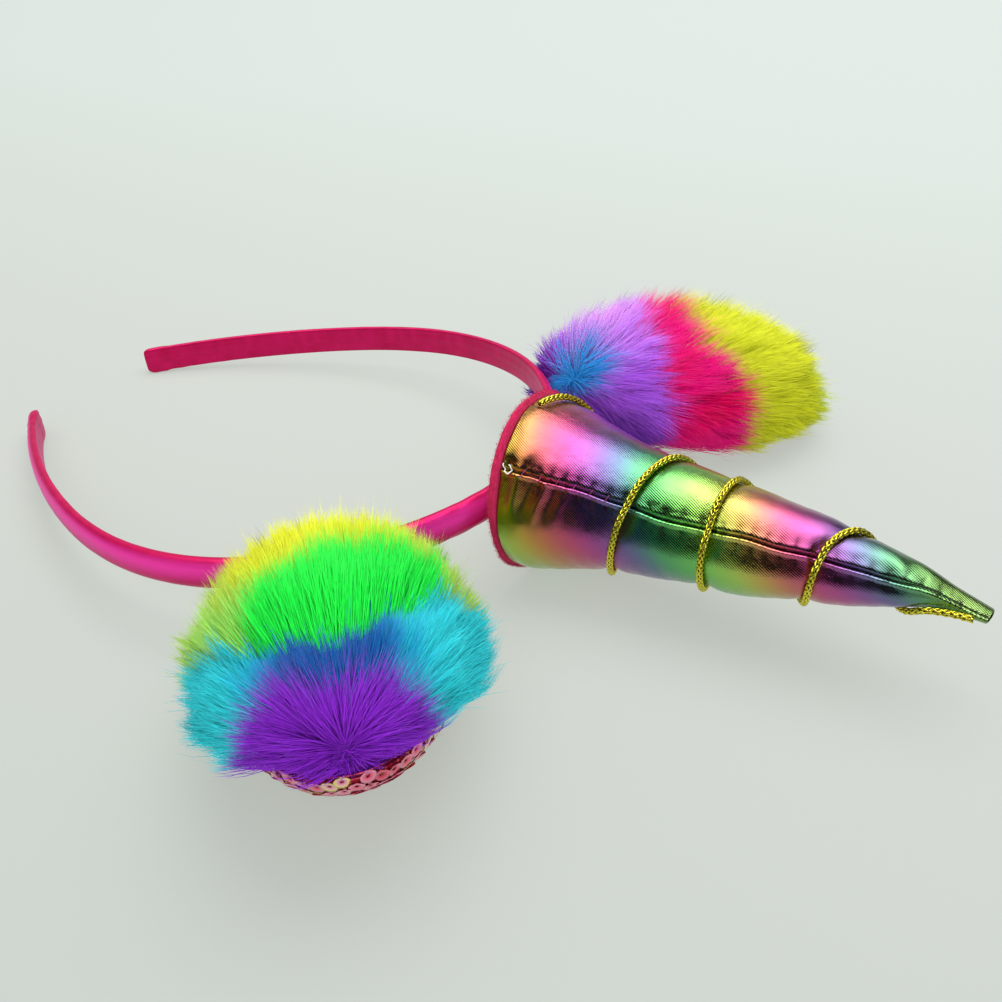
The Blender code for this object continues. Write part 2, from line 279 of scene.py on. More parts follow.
def make_piece(name, points, faces, materials, fields=None, face_materials=None, solid=True):
    """Mesh object that rides on the headband, with faces in blocks of equal corner counts."""
    if solid and signed_volume(points - points.mean(0), faces) < 0.0:
        faces = [block[:, ::-1] for block in faces]
    mesh = bpy.data.meshes.new(name)
    mesh.vertices.add(len(points))
    mesh.vertices.foreach_set("co", np.ascontiguousarray(points, np.float32).ravel())
    corners = np.concatenate([block.ravel() for block in faces])
    sizes = np.concatenate([np.full(len(block), block.shape[1]) for block in faces])
    mesh.loops.add(len(corners))
    mesh.loops.foreach_set("vertex_index", corners.astype(np.int32))
    mesh.polygons.add(len(sizes))
    mesh.polygons.foreach_set("loop_start", (np.cumsum(sizes) - sizes).astype(np.int32))
    if face_materials is not None:
        mesh.polygons.foreach_set("material_index", face_materials.astype(np.int32))
    for field, values in (fields or {}).items():
        add_field(mesh, field, np.asarray(values, np.float32))
    mesh.update(calc_edges=True)
    mesh.shade_smooth()
    for mat in materials:
        mesh.materials.append(mat)
    obj = bpy.data.objects.new(name, mesh)
    bpy.context.scene.collection.objects.link(obj)
    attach(obj, "root")
    return obj


def add_field(mesh, field, values):
    """Store a number, a place or a colour for each point of a mesh."""
    if values.ndim == 1:
        mesh.attributes.new(field, "FLOAT", "POINT").data.foreach_set("value", values)
    elif values.shape[1] == 3:
        mesh.attributes.new(field, "FLOAT_VECTOR", "POINT").data.foreach_set("vector", values.ravel())
    else:
        mesh.color_attributes.new(field, "FLOAT_COLOR", "POINT").data.foreach_set("color", values.ravel())


def tube_points(centres, out, side, radii, turns):
    """Rings of points round a line, at the given turns from its outward direction."""
    ring = np.cos(turns)[:, None] * out[:, None, :] + np.sin(turns)[:, None] * side[:, None, :]
    return centres[:, None, :] + ring * np.reshape(radii, (-1, 1, 1))


# Materials


def add_node(mat, kind, properties=None, **inputs):
    node = mat.node_tree.nodes.new(kind)
    for key, value in (properties or {}).items():
        setattr(node, key, value)
    for key, value in inputs.items():
        node.inputs[key.replace("_", " ")].default_value = value
    return node


def join(mat, source, output, target, socket):
    mat.node_tree.links.new(source.outputs[output], target.inputs[socket])


def surface(name, **inputs):
    """Material with its shader, whose constants are set on the shader's own sockets."""
    mat = bpy.data.materials.new(name)
    mat.use_nodes = True
    shader = mat.node_tree.nodes["Principled BSDF"]
    for key, value in inputs.items():
        shader.inputs[key.replace("_", " ")].default_value = value
    return mat, shader


def ramp(mat, stops, interpolation="LINEAR"):
    """Colour ramp from rows of (place, red, green, blue)."""
    node = add_node(mat, "ShaderNodeValToRGB")
    node.color_ramp.interpolation = interpolation
    elements = node.color_ramp.elements
    while len(elements) < len(stops):
        elements.new(0.5)
    for element, (place, *colour) in zip(elements, stops):
        element.position = place
        element.color = (*colour, 1.0)
    return node


def field_node(mat, field):
    return add_node(mat, "ShaderNodeAttribute", {"attribute_name": field})


def mix_colours(mat, first, second, share, blend="MIX"):
    """Mix of two colours, each a colour or a (node, output name or number) pair."""
    node = add_node(mat, "ShaderNodeMix", {"data_type": "RGBA", "blend_type": blend})
    for value, index in ((share, 0), (first, 6), (second, 7)):
        if isinstance(value, tuple) and isinstance(value[0], bpy.types.Node):
            mat.node_tree.links.new(value[0].outputs[value[1]], node.inputs[index])
        else:
            node.inputs[index].default_value = value
    return node


def add_bump(mat, shader, height, output, strength, distance, below=None):
    """Bump from a height, on top of another bump if one is given."""
    bump = add_node(mat, "ShaderNodeBump", Strength=strength, Distance=distance)
    join(mat, height, output, bump, "Height")
    if below is not None:
        join(mat, below, "Normal", bump, "Normal")
    join(mat, bump, "Normal", shader, "Normal")
    return bump


def waves_along(mat, place, output, turn, pitch, distortion=0.0):
    """Sine ribs over a place field in metres, turned by an angle, one rib a pitch."""
    turned = add_node(mat, "ShaderNodeMapping", Rotation=(0.0, 0.0, turn))
    join(mat, place, output, turned, "Vector")
    # One cycle of this texture is 2 pi / 20 of its unit
    scale = 2 * math.pi / 20 / pitch
    wave = add_node(mat, "ShaderNodeTexWave", Scale=scale, Distortion=distortion, Detail=1.0)
    join(mat, turned, "Vector", wave, "Vector")
    return wave


def satin_material():
    """Tightly wound satin: fine threads across the band, with a soft sheen, partly painted as a lighter
    magenta over the upper outer curve.
    """
    mat, shader = surface(
        "pink_satin",
        Roughness=0.34,
        Specular_IOR_Level=0.95,
        Metallic=0.30,
        Specular_Tint=(1.0, 0.14, 0.60, 1.0),
        Sheen_Weight=0.20,
        Sheen_Roughness=0.35,
        Sheen_Tint=(1.0, 0.12, 0.60, 1.0),
        Anisotropic=0.4,
    )
    cloth = field_node(mat, "cloth")
    noise = add_node(mat, "ShaderNodeTexNoise", Scale=240.0, Detail=3.0)
    join(mat, cloth, "Vector", noise, "Vector")
    tones = ramp(mat, ((0.3, 0.42, 0.003, 0.048), (0.7, 0.54, 0.006, 0.085)))
    join(mat, noise, "Fac", tones, "Fac")
    # Painted sheen: the upper outer curve turns a light magenta
    lit = mix_colours(mat, (tones, "Color"), (0.82, 0.035, 0.34, 1.0), (field_node(mat, "outer"), "Fac"))
    mat.node_tree.links.new(lit.outputs[2], shader.inputs["Base Color"])
    threads = waves_along(mat, cloth, "Vector", 0.0, 0.00022, 0.6)
    fine = add_bump(mat, shader, threads, "Fac", 0.10, 0.00004)
    soft = add_node(mat, "ShaderNodeTexNoise", Scale=900.0, Detail=2.0)
    join(mat, cloth, "Vector", soft, "Vector")
    add_bump(mat, shader, soft, "Fac", 0.15, 0.0001, fine)
    return mat


def felt_material():
    """Matted wool with no direction."""
    mat, shader = surface("pink_felt", Roughness=0.95, Sheen_Weight=0.12, Sheen_Roughness=0.6,
                          Sheen_Tint=(1.0, 0.45, 0.65, 1.0))
    place = add_node(mat, "ShaderNodeTexCoord")
    noise = add_node(mat, "ShaderNodeTexNoise", Scale=900.0, Detail=5.0, Distortion=1.5)
    join(mat, place, "Object", noise, "Vector")
    tones = ramp(mat, ((0.30, 0.42, 0.004, 0.050), (0.70, 0.62, 0.014, 0.110)))
    join(mat, noise, "Fac", tones, "Fac")
    join(mat, tones, "Color", shader, "Base Color")
    add_bump(mat, shader, noise, "Fac", 0.6, 0.0004)
    return mat


# Rainbow of the foil, from the horn's base to its tip: (share, red, green, blue)
foil_rainbow = (
    (0.000, 0.30, 0.58, 0.06),
    (0.045, 0.46, 0.48, 0.05),
    (0.085, 0.56, 0.25, 0.04),
    (0.130, 0.56, 0.10, 0.10),
    (0.180, 0.52, 0.055, 0.20),
    (0.225, 0.34, 0.06, 0.30),
    (0.275, 0.16, 0.09, 0.30),
    (0.320, 0.09, 0.17, 0.26),
    (0.360, 0.07, 0.32, 0.13),
    (0.430, 0.14, 0.52, 0.10),
    (0.500, 0.34, 0.60, 0.09),
    (0.555, 0.54, 0.38, 0.07),
    (0.605, 0.56, 0.16, 0.10),
    (0.660, 0.52, 0.06, 0.20),
    (0.715, 0.42, 0.07, 0.28),
    (0.770, 0.20, 0.09, 0.32),
    (0.820, 0.12, 0.16, 0.28),
    (0.865, 0.09, 0.28, 0.16),
    (0.920, 0.13, 0.34, 0.10),
    (1.000, 0.24, 0.38, 0.09),
)


def foil_material():
    """Metallic foil printed on ribbed cloth, with worn specks along the ribs, painted shade in the grooves
    between the ribs and painted near-black shade in the seam.
    """
    mat, shader = surface("rainbow_foil", Metallic=1.0, Roughness=0.2, Coat_Weight=0.6, Coat_Roughness=0.28)
    rainbow = field_node(mat, "rainbow")
    colours = ramp(mat, foil_rainbow, "B_SPLINE")
    join(mat, rainbow, "Fac", colours, "Fac")
    cloth = field_node(mat, "cloth")
    ribs = waves_along(mat, cloth, "Vector", math.radians(-57.0), 0.00046, 0.8)
    crossing = waves_along(mat, cloth, "Vector", math.radians(33.0), 0.00042, 0.8)
    # Painted shade: the rainbow is darkened in the grooves between the ribs
    painted_groove_shade = ramp(mat, ((0.0, 0.60, 0.60, 0.60), (0.35, 1.0, 1.0, 1.0)))
    join(mat, ribs, "Fac", painted_groove_shade, "Fac")
    dye_and_painted_shade = mix_colours(mat, (colours, "Color"), (painted_groove_shade, "Color"), 0.45, "MULTIPLY")
    # Painted shade: near black in the seam's groove and on the turned-in rings
    painted_seam_shade = field_node(mat, "painted_seam_shade")
    seam_painted_dark = mix_colours(mat, (dye_and_painted_shade, 2), (0.012, 0.008, 0.014, 1.0), (painted_seam_shade, "Fac"))
    mat.node_tree.links.new(seam_painted_dark.outputs[2], shader.inputs["Base Color"])
    wear = add_node(mat, "ShaderNodeTexNoise", Scale=420.0, Detail=4.0)
    join(mat, cloth, "Vector", wear, "Vector")
    rough = ramp(mat, ((0.35, 0.11, 0.11, 0.11), (0.75, 0.27, 0.27, 0.27)))
    join(mat, wear, "Fac", rough, "Fac")
    join(mat, rough, "Color", shader, "Roughness")
    first = add_bump(mat, shader, ribs, "Fac", 0.42, 0.00007)
    second = add_bump(mat, shader, crossing, "Fac", 0.22, 0.00005, first)
    add_bump(mat, shader, wear, "Fac", 0.42, 0.00036, second)
    return mat


def lining_material():
    """Raw back of the foil cloth, seen in the open tip, painted near-black as the shade inside it."""
    mat, shader = surface("foil_back_painted_shade", Roughness=0.8)
    place = add_node(mat, "ShaderNodeTexCoord")
    noise = add_node(mat, "ShaderNodeTexNoise", Scale=1500.0, Detail=3.0)
    join(mat, place, "Object", noise, "Vector")
    tones = ramp(mat, ((0.3, 0.010, 0.014, 0.006), (0.7, 0.050, 0.060, 0.020)))
    join(mat, noise, "Fac", tones, "Fac")
    join(mat, tones, "Color", shader, "Base Color")
    return mat


def thread_material(name, dark, light, roughness, metallic=0.0):
    """Spun thread with fine streaks."""
    mat, shader = surface(name, Roughness=roughness, Metallic=metallic)
    place = add_node(mat, "ShaderNodeTexCoord")
    noise = add_node(mat, "ShaderNodeTexNoise", Scale=2600.0, Detail=2.0)
    join(mat, place, "Object", noise, "Vector")
    tones = ramp(mat, ((0.35, *dark), (0.65, *light)))
    join(mat, noise, "Fac", tones, "Fac")
    join(mat, tones, "Color", shader, "Base Color")
    add_bump(mat, shader, noise, "Fac", 0.5, 0.00008)
    return mat


def fur_material():
    """Dyed acrylic fibre. The dye is stored on the strands, with painted shade that makes it darker towards
    their roots.
    """
    mat, shader = surface("rainbow_fur", Roughness=0.65, Specular_IOR_Level=0.06)
    dye = field_node(mat, "dye")
    place = add_node(mat, "ShaderNodeTexCoord")
    noise = add_node(mat, "ShaderNodeTexNoise", Scale=700.0, Detail=2.0)
    join(mat, place, "Object", noise, "Vector")
    tones = ramp(mat, ((0.3, 0.82, 0.82, 0.82), (0.7, 1.0, 1.0, 1.0)))
    join(mat, noise, "Fac", tones, "Fac")
    dye_and_painted_shade = mix_colours(mat, (dye, "Color"), (tones, "Color"), 1.0, "MULTIPLY")
    mat.node_tree.links.new(dye_and_painted_shade.outputs[2], shader.inputs["Base Color"])
    return mat


def sequin_material():
    """Foiled plastic, pink to red with painted gold glints, one base tone a sequin, with painted shade at
    its hole and underneath and a painted highlight on its raised rim.
    """
    mat, shader = surface("pink_sequins", Metallic=0.75, Roughness=0.16, Coat_Weight=0.5,
                          Coat_Roughness=0.08)
    tone = field_node(mat, "tone")
    colours = ramp(mat, ((0.0, 0.55, 0.02, 0.05), (0.35, 0.85, 0.10, 0.20), (0.7, 0.90, 0.28, 0.42),
                         (0.88, 0.92, 0.50, 0.50), (1.0, 0.90, 0.68, 0.20)))
    join(mat, tone, "Fac", colours, "Fac")
    join(mat, colours, "Color", shader, "Base Color")
    place = add_node(mat, "ShaderNodeTexCoord")
    noise = add_node(mat, "ShaderNodeTexNoise", Scale=1400.0, Detail=2.0)
    join(mat, place, "Object", noise, "Vector")
    add_bump(mat, shader, noise, "Fac", 0.12, 0.0001)
    return mat


# Satin band


def band_path(arcs):
    """Centres of the band on the flat and its outward angles, at signed lengths from the crown."""
    along = np.linspace(0.0, band_half_length, 3000)
    knots = np.linspace(0.0, 1.0, len(band_bend_profile))
    angle = running_total(np.interp(along / band_half_length, knots, band_bend_profile), along)
    angle *= band_half_bend / angle[-1]
    x = -running_total(np.sin(angle), along)
    y = running_total(np.cos(angle), along)
    reach = np.abs(arcs)
    side = np.sign(arcs)
    across = side * np.interp(reach, along, y)
    centres = np.stack([np.interp(reach, along, x), across, np.zeros_like(across)], -1)
    return centres, side * np.interp(reach, along, angle)


def rounded(section, times):
    """Cut the corners of a closed outline, a number of times over."""
    points = np.array(section)
    for _ in range(times):
        after = np.roll(points, -1, axis=0)
        cut = np.stack([0.75 * points + 0.25 * after, 0.25 * points + 0.75 * after], 1)
        points = cut.reshape(-1, points.shape[1])
    return points


def satin_relief(arc, up, out, around):
    """Height of the ribbon's overlaps and wrinkles over the smooth band."""
    spot = np.stack([arc, around], -1)
    from_end = band_half_length - np.abs(arc)
    hem = wrap_length + 0.0005 * smooth_noise(around[..., None], 0.006, 3)
    wrap = wrap_thickness * (1.0 - ease(from_end, hem, hem + 0.0003))
    lap = 0.0009 + 0.0004 * np.sin(arc / 0.013)
    ridge = 0.00016 * bump_at(up - lap, 0.00035) * ease(-out, 0.0, band_thickness / 3)
    pinched = 0.35 + bump_at(np.abs(arc) - 0.030, 0.020) + 0.8 * bump_at(from_end - 0.010, 0.008)
    slant = np.sin(2 * math.pi * (arc / 0.0062 + around / 0.0085) + 2.5 * smooth_noise(spot, 0.012, 5))
    folds = 0.00005 * pinched * slant * ease(smooth_noise(spot, 0.015, 6), -0.4, 0.8)
    lines = 0.00005 * np.sin(2 * math.pi * (up / 0.0026 + 0.12 * smooth_noise(arc[..., None], 0.02, 8)))
    return wrap + ridge + folds + lines * ease(smooth_noise(spot, 0.02, 9), -0.2, 0.6)


def make_band(satin):
    straight = band_half_length - band_end_round
    curved = band_end_round * np.linspace(0.0, 1.0, band_end_rings, endpoint=False) ** 2
    middle = np.linspace(-straight, straight, band_stations)
    arcs = np.concatenate([-band_half_length + curved, middle, (band_half_length - curved)[::-1]])
    from_end = band_half_length - np.abs(arcs)
    bulge = np.sqrt(1.0 - (1.0 - np.clip(from_end / band_end_round, 0.0, 1.0)) ** 2)
    sizes = band_end_size + (1.0 - band_end_size) * bulge
    section = rounded(band_section, 3) * (band_width / 2, band_thickness / 2)
    ahead = np.roll(section, -1, axis=0)
    around = running_total(np.ones(len(section)), np.arange(len(section)))
    around = around * np.linalg.norm(ahead - section, axis=1).mean()
    tangent = unit(ahead - np.roll(section, 1, axis=0))
    normal = np.stack([tangent[:, 1], -tangent[:, 0]], -1)
    if (normal * section).sum() < 0.0:
        normal = -normal
    # Sunk folds that close each end: (size of the ring, how deep it lies)
    folds = ((0.80, 0.0000), (0.55, 0.0003), (0.30, 0.0002), (0.08, 0.0004))
    arc_rows = [arcs]
    size_rows = [sizes]
    for size, depth in folds:
        arc_rows.insert(0, np.array([-band_half_length + depth]))
        arc_rows.append(np.array([band_half_length - depth]))
        size_rows.insert(0, np.array([size * band_end_size]))
        size_rows.append(np.array([size * band_end_size]))
    arcs = np.concatenate(arc_rows)
    sizes = np.concatenate(size_rows)
    centres, angles = band_path(arcs)
    outward = np.stack([np.cos(angles), np.sin(angles), np.zeros_like(angles)], -1)
    arc_grid, around_grid = np.meshgrid(arcs, around, indexing="ij")
    up = sizes[:, None] * section[None, :, 0]
    out = sizes[:, None] * section[None, :, 1]
    relief = satin_relief(arc_grid, up, out, around_grid)
    up = up + normal[None, :, 0] * relief
    out = out + normal[None, :, 1] * relief
    points = centres[:, None] + outward[:, None] * out[..., None]
    points[..., 2] += up
    cloth = np.stack([arc_grid, around_grid, np.zeros_like(arc_grid)], -1).reshape(-1, 3)
    rows = len(arcs)
    columns = len(section)
    faces = [grid_faces(rows, columns), cap_faces(rows, columns)]
    points = moved(band_frame, points.reshape(-1, 3))
    # Painted sheen: lighter magenta over the upper outer curve, where the light from above falls, than on
    # the flat inner side and along the lower edge
    outer = ease(out, 0.0, band_thickness * 0.42) * ease(up, -band_width * 0.34, band_width * 0.22)
    fields = {"cloth": cloth, "outer": outer.ravel()}
    band = make_piece("satin_band", points, faces, [satin], fields)
    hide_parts("headband")


# Felt round


def disc_back():
    return band_thickness / 2 + gap


def make_felt(felt):
    """Cut round of felt with a slightly uneven edge and a fuzz of stray fibres."""
    turns = np.linspace(0.0, 2 * math.pi, 180, endpoint=False)
    rim = np.stack([np.cos(turns), np.sin(turns)], -1)
    edge = disc_radius * (0.970 + 0.009 * smooth_noise(rim, 0.5, 21) + 0.003 * smooth_noise(rim, 0.08, 22))
    edge = np.minimum(edge, disc_radius)
    # Rings from the back's middle over the rim to the front's middle: (share of radius, share of thickness)
    rings = ((0.05, 0.0), (0.4, 0.0), (0.75, 0.0), (0.93, 0.01), (0.985, 0.10), (1.0, 0.32),
             (1.0, 0.68), (0.985, 0.90), (0.93, 0.99), (0.75, 1.0), (0.4, 1.0), (0.05, 1.0))
    points = []
    for share, depth in rings:
        x = disc_back() + depth * disc_thickness + 0.00006 * smooth_noise(rim * share, 0.12, 23)
        points.append(np.stack([x, rim[:, 0] * edge * share, rim[:, 1] * edge * share], -1))
    points = np.concatenate(points)
    faces = [grid_faces(len(rings), len(turns)), cap_faces(len(rings), len(turns))]
    disc = make_piece("felt_round", moved(band_frame, points), faces, [felt])
    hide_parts("horn_base_disc")
    rng = np.random.default_rng(24)
    count = 5200
    turn = rng.uniform(0.0, 2 * math.pi, count)
    depth = rng.uniform(0.03, 0.97, count)
    radial = np.stack([np.zeros(count), np.cos(turn), np.sin(turn)], -1)
    roots = radial * np.interp(turn, turns, edge)[:, None] * 0.995
    roots[:, 0] = disc_back() + depth * disc_thickness
    lean = unit(radial + rng.normal(0.0, 0.75, (count, 3)))
    tips = roots + lean * rng.uniform(0.0003, 0.0009, (count, 1))
    bends = (roots + tips) / 2 + rng.normal(0.0, 0.00012, (count, 3))
    lines = moved(band_frame, np.stack([roots, bends, tips], 1).reshape(-1, 3)).reshape(-1, 3, 3)
    lines[..., 2] = np.maximum(lines[..., 2], table_clearance / 2)
    widths = np.tile([0.00007, 0.00006, 0.0], (count, 1))
    points, faces = ribbons(lines, np.cross(lean, unit(rng.normal(size=(count, 3)))), widths)
    make_piece("felt_fuzz", points, faces, [felt], solid=False)


def ribbons(lines, sides, widths):
    """Flat strands that taper to a point, from (strand, point) lines and a side direction each."""
    count, steps = lines.shape[:2]
    offset = unit(sides)[:, None] * widths[..., None] / 2
    left = lines[:, :-1] - offset[:, :-1]
    right = lines[:, :-1] + offset[:, :-1]
    points = np.concatenate([np.stack([left, right], 2).reshape(count, -1, 3), lines[:, -1:]], 1)
    per = 2 * steps - 1
    base = np.arange(count)[:, None] * per
    quads = [np.concatenate([base + 2 * k, base + 2 * k + 1, base + 2 * k + 3, base + 2 * k + 2], 1)
             for k in range(steps - 2)]
    last = 2 * (steps - 2)
    ends = np.concatenate([base + last, base + last + 1, base + last + 2], 1)
    return points.reshape(-1, 3), [np.concatenate(quads), ends]


# Horn


def horn_base():
    return disc_back() + disc_thickness + gap


def cord_distance(share, angle):
    """Distance along the horn from places on it to the nearest turn of the cord."""
    turned = np.degrees(angle) % 360.0
    nearest = np.full(np.broadcast(share, angle).shape, horn_length)
    for turn in range(int(cord_winding[-1][0] // 360) + 1):
        wound = turned + 360.0 * turn
        there = (wound >= cord_winding[0][0]) & (wound <= cord_winding[-1][0])
        away = np.abs(smooth_column(cord_winding, 1, wound) - share) * horn_length
        nearest = np.where(there, np.minimum(nearest, away), nearest)
    return nearest


def from_seam(angle):
    return (angle - horn_seam_angle + math.pi) % (2 * math.pi) - math.pi


def horn_place(share, angle, radius, lift=0.0):
    """Points at a radius round the horn's drooping axis, measured from the near side over the top."""
    droop = horn_length * smooth_column(horn_stations, 2, share)
    flat = smooth_column(horn_stations, 3, share)
    y = -np.cos(angle) * radius
    z = np.sin(angle) * radius * (flat + (1 - flat) * np.minimum(1.0, lift / radius)) - droop
    return np.stack(np.broadcast_arrays(horn_base() + share * horn_length, y, z), -1)


def horn_fade(share):
    """Share of the full relief that the thin end of the horn carries."""
    return np.minimum(1.0, smooth_column(horn_stations, 1, share) / 0.4)


def seam_distance(share, angle, radius):
    """Distance round the horn from its seam, which wanders a little."""
    return from_seam(angle) * radius + 0.00035 * smooth_noise(share[..., None] * horn_length, 0.011, 37)


def horn_relief(share, angle):
    """Height of the horn's bulges, seam, puckers and creases over its plain cone."""
    radius = horn_radius * smooth_column(horn_stations, 1, share)
    along = share * horn_length
    seam = seam_distance(share, angle, radius)
    place = np.stack([along, np.cos(angle) * radius, np.sin(angle) * radius], -1)
    cord = cord_distance(share, angle)
    relief = -0.00062 * bump_at(cord, 0.0022) + 0.00015 * (1.0 - bump_at(cord, 0.0080))
    relief += -0.0007 * bump_at(seam, 0.0048) - 0.0007 * bump_at(seam, 0.00030)
    relief += 0.00045 * bump_at(seam + 0.00085, 0.00045) + 0.00012 * bump_at(seam - 0.0011, 0.0007)
    uneven = 0.4 * smooth_noise(along[..., None], 0.02, 30)
    stitched = np.cos(math.pi * (along / stitch_spacing + uneven)) ** 6
    relief -= 0.00030 * stitched * bump_at(seam, 0.0026)
    relief -= 0.050 * radius * bump_at(from_seam(angle) + math.radians(18.0), math.radians(15.0))
    relief -= 0.020 * radius * bump_at(from_seam(angle) - math.radians(22.0), math.radians(14.0))
    wander = 0.0009 * smooth_noise(place, 0.009, 31)
    gathered = ease(-seam, 0.0, 0.0015) * ease(seam, -0.0125, -0.0045)
    for at, height, width in horn_pleats:
        relief += height * gathered * bump_at(along - at - wander - 0.10 * seam, width)
    puckered = ease(seam, 0.0, 0.001) * bump_at(seam, 0.0040) * ease(-share, -0.20, -0.04)
    relief -= 0.00030 * puckered * np.sin(along / 0.0021 + 3.0 * wander / 0.0009)
    drawn = ease(share, 0.76, 0.84) * (1.0 - 0.8 * ease(share, 0.93, 0.99))
    creases = np.sin(from_seam(angle) * 4.5 + share * 22.0 + 1.2 * smooth_noise(place, 0.012, 32))
    relief += 0.00050 * drawn * creases * bump_at(from_seam(angle), 1.2)
    relief += 0.00016 * smooth_noise(place, 0.011, 33) + 0.00007 * smooth_noise(place, 0.004, 34)
    return relief * horn_fade(share)


def horn_angles():
    """Angles round the horn, closer together towards its seam."""
    turn = np.linspace(-math.pi, math.pi, horn_columns, endpoint=False)
    return horn_seam_angle + turn - 0.74 * np.sin(turn)


def make_horn(foil, lining):
    angles = horn_angles()
    shares = np.linspace(0.0, 1.0, horn_rows)
    share, angle = np.meshgrid(shares, angles, indexing="ij")
    radius = horn_radius * smooth_column(horn_stations, 1, share)
    surface_radius = radius + horn_relief(share, angle)
    lip = ease(share, 0.93, 1.0) * 0.0007 * np.sin(angle)
    outer = horn_place(share, angle, surface_radius)
    outer[..., 0] += lip
    # Rings turned in behind the felt and inside the open tip: (share, share of the radius)
    behind = ((0.004, 0.05), (0.002, 0.5), (0.0, 0.88))
    inside = ((1.0, 0.90), (0.996, 0.80), (0.985, 0.74), (0.96, 0.70), (0.93, 0.55), (0.92, 0.05))
    blocks = []
    for place, size in behind:
        blocks.append(horn_place(np.full(horn_columns, place), angles, surface_radius[0] * size))
    blocks.append(outer.reshape(-1, 3))
    for place, size in inside:
        ring = horn_place(np.full(horn_columns, place), angles, surface_radius[-1] * size)
        ring[:, 0] += lip[-1]
        blocks.append(ring)
    points = np.concatenate(blocks)
    rows = horn_rows + len(behind) + len(inside)
    faces = [grid_faces(rows, horn_columns), cap_faces(rows, horn_columns)]
    # Painted shade: the faces inside the open tip and the two caps take the near-black lining
    painted_shading = np.zeros(len(faces[0]) + 2)
    painted_shading[(horn_rows + len(behind)) * horn_columns:] = 1
    every_share = np.concatenate([np.zeros(len(behind)), shares, np.ones(len(inside))])
    place = np.stack([share * horn_length, np.cos(angle) * radius, np.sin(angle) * radius], -1)
    shift = 0.07 * (1.0 - np.sin(angle)) - 0.012 * smooth_noise(place, 0.022, 36)
    rainbow = np.clip(share - shift + 0.075, 0.0, 1.0)
    first = np.tile(rainbow[:1], (len(behind), 1))
    last = np.tile(rainbow[-1:], (len(inside), 1))
    rainbow = np.concatenate([first, rainbow, last])
    every_radius = horn_radius * smooth_column(horn_stations, 1, every_share)
    wrapped = from_seam(angles)[None] * every_radius[:, None]
    lengthwise = np.broadcast_to(every_share[:, None] * horn_length, wrapped.shape)
    cloth = np.stack([lengthwise, wrapped, np.zeros_like(wrapped)], -1)
    # Painted shade in the seam's groove; the turned-in rings behind the felt and inside the tip are set
    # fully dark
    painted_seam_shade = 0.8 * bump_at(seam_distance(share, angle, radius) - 0.0001, 0.00020)
    first = np.ones((len(behind), horn_columns))
    last = np.ones((len(inside), horn_columns))
    painted_seam_shade = np.concatenate([first, painted_seam_shade, last])
    fields = {"rainbow": rainbow.ravel(), "cloth": cloth.reshape(-1, 3), "painted_seam_shade": painted_seam_shade.ravel()}
    points = moved(band_frame, points)
    horn = make_piece("foil_horn", points, faces, [foil, lining], fields, painted_shading)
    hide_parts("horn")


def horn_out(share, angle, lift):
    """Places above the horn's cloth and the outward directions there."""
    radius = horn_radius * smooth_column(horn_stations, 1, share) + horn_relief(share, angle) + lift
    out = np.stack([np.zeros_like(angle), -np.cos(angle), np.sin(angle)], -1)
    return horn_place(share, angle, radius, np.full_like(share, lift)), out


def thread_tube(line, out, radius, start=0):
    """Points and faces of a thin thread along a line, given the directions out of the cloth."""
    sides = 6
    turns = np.linspace(0.0, 2 * math.pi, sides, endpoint=False)
    along = unit(np.gradient(line, axis=0))
    side = unit(np.cross(along, out))
    ring = tube_points(line, unit(np.cross(side, along)), side, np.full(len(line), radius), turns)
    return ring.reshape(-1, 3), [grid_faces(len(line), sides, start), cap_faces(len(line), sides, start)]


def make_stitches(thread, white):
    """Hand stitches over the seam near the base, and the loop of white thread left at its start."""
    points = []
    faces = []
    spans = np.linspace(-1.0, 1.0, 9)
    arch = 1.0 - spans**2
    for k in range(1, 7):
        middle = (k + 0.5) * stitch_spacing / horn_length
        radius = horn_radius * float(smooth_column(horn_stations, 1, np.array([middle]))[0])
        angle = horn_seam_angle + spans * 0.0011 / radius
        centres, out = horn_out(middle + spans * 0.0040, angle, 0.00006)
        line = centres[0] + (centres[-1] - centres[0]) * ((spans + 1) / 2)[:, None]
        line += out * (arch * 0.00010)[:, None]
        ring, sheets = thread_tube(line, out, 0.00011, sum(len(block) for block in points))
        points.append(ring)
        faces.append(sheets)
    blocks = [np.concatenate([sheets[i] for sheets in faces]) for i in (0, 1)]
    make_piece("seam_stitches", moved(band_frame, np.concatenate(points)), blocks, [thread])
    turn = np.linspace(0.0, 1.0, 40)
    share = 0.016 + 0.012 * np.sin(turn * 5.0)
    centres, out = horn_out(share, horn_seam_angle + 0.05 * np.cos(turn * 6.2), 0.0002)
    line = centres + out * (0.0007 * np.sin(turn * math.pi))[:, None]
    ring, sheets = thread_tube(line, out, 0.00014)
    make_piece("thread_loop", moved(band_frame, ring), sheets, [white])


# Cord


def cord_line(count):
    """Centre of the cord at equal steps, with its direction and the direction out of the horn."""
    degrees = np.linspace(cord_winding[0][0], cord_winding[-1][0], 6000)
    angle = np.radians(degrees)
    share = smooth_column(cord_winding, 1, degrees)
    lift = braid_radius + cord_clearance
    press = cord_press * bump_at(cord_distance(share, angle), cord_press_reach)
    seam = horn_seam_depth * bump_at(from_seam(angle), horn_seam_spread)
    radius = horn_radius * smooth_column(horn_stations, 1, share) - (press + seam) * horn_fade(share) + lift
    places = horn_place(share, angle, radius, lift)
    lengths = np.concatenate([[0.0], np.cumsum(np.linalg.norm(np.diff(places, axis=0), axis=1))])
    wanted = np.linspace(0.0, lengths[-1], count)
    line = np.stack([np.interp(wanted, lengths, places[:, k]) for k in range(3)], -1)
    along = unit(np.gradient(line, axis=0))
    turn = np.interp(wanted, lengths, angle)
    out = np.stack([np.zeros(count), -np.cos(turn), np.sin(turn)], -1)
    out = unit(out - (out * along).sum(-1, keepdims=True) * along)
    return wanted, line, along, out


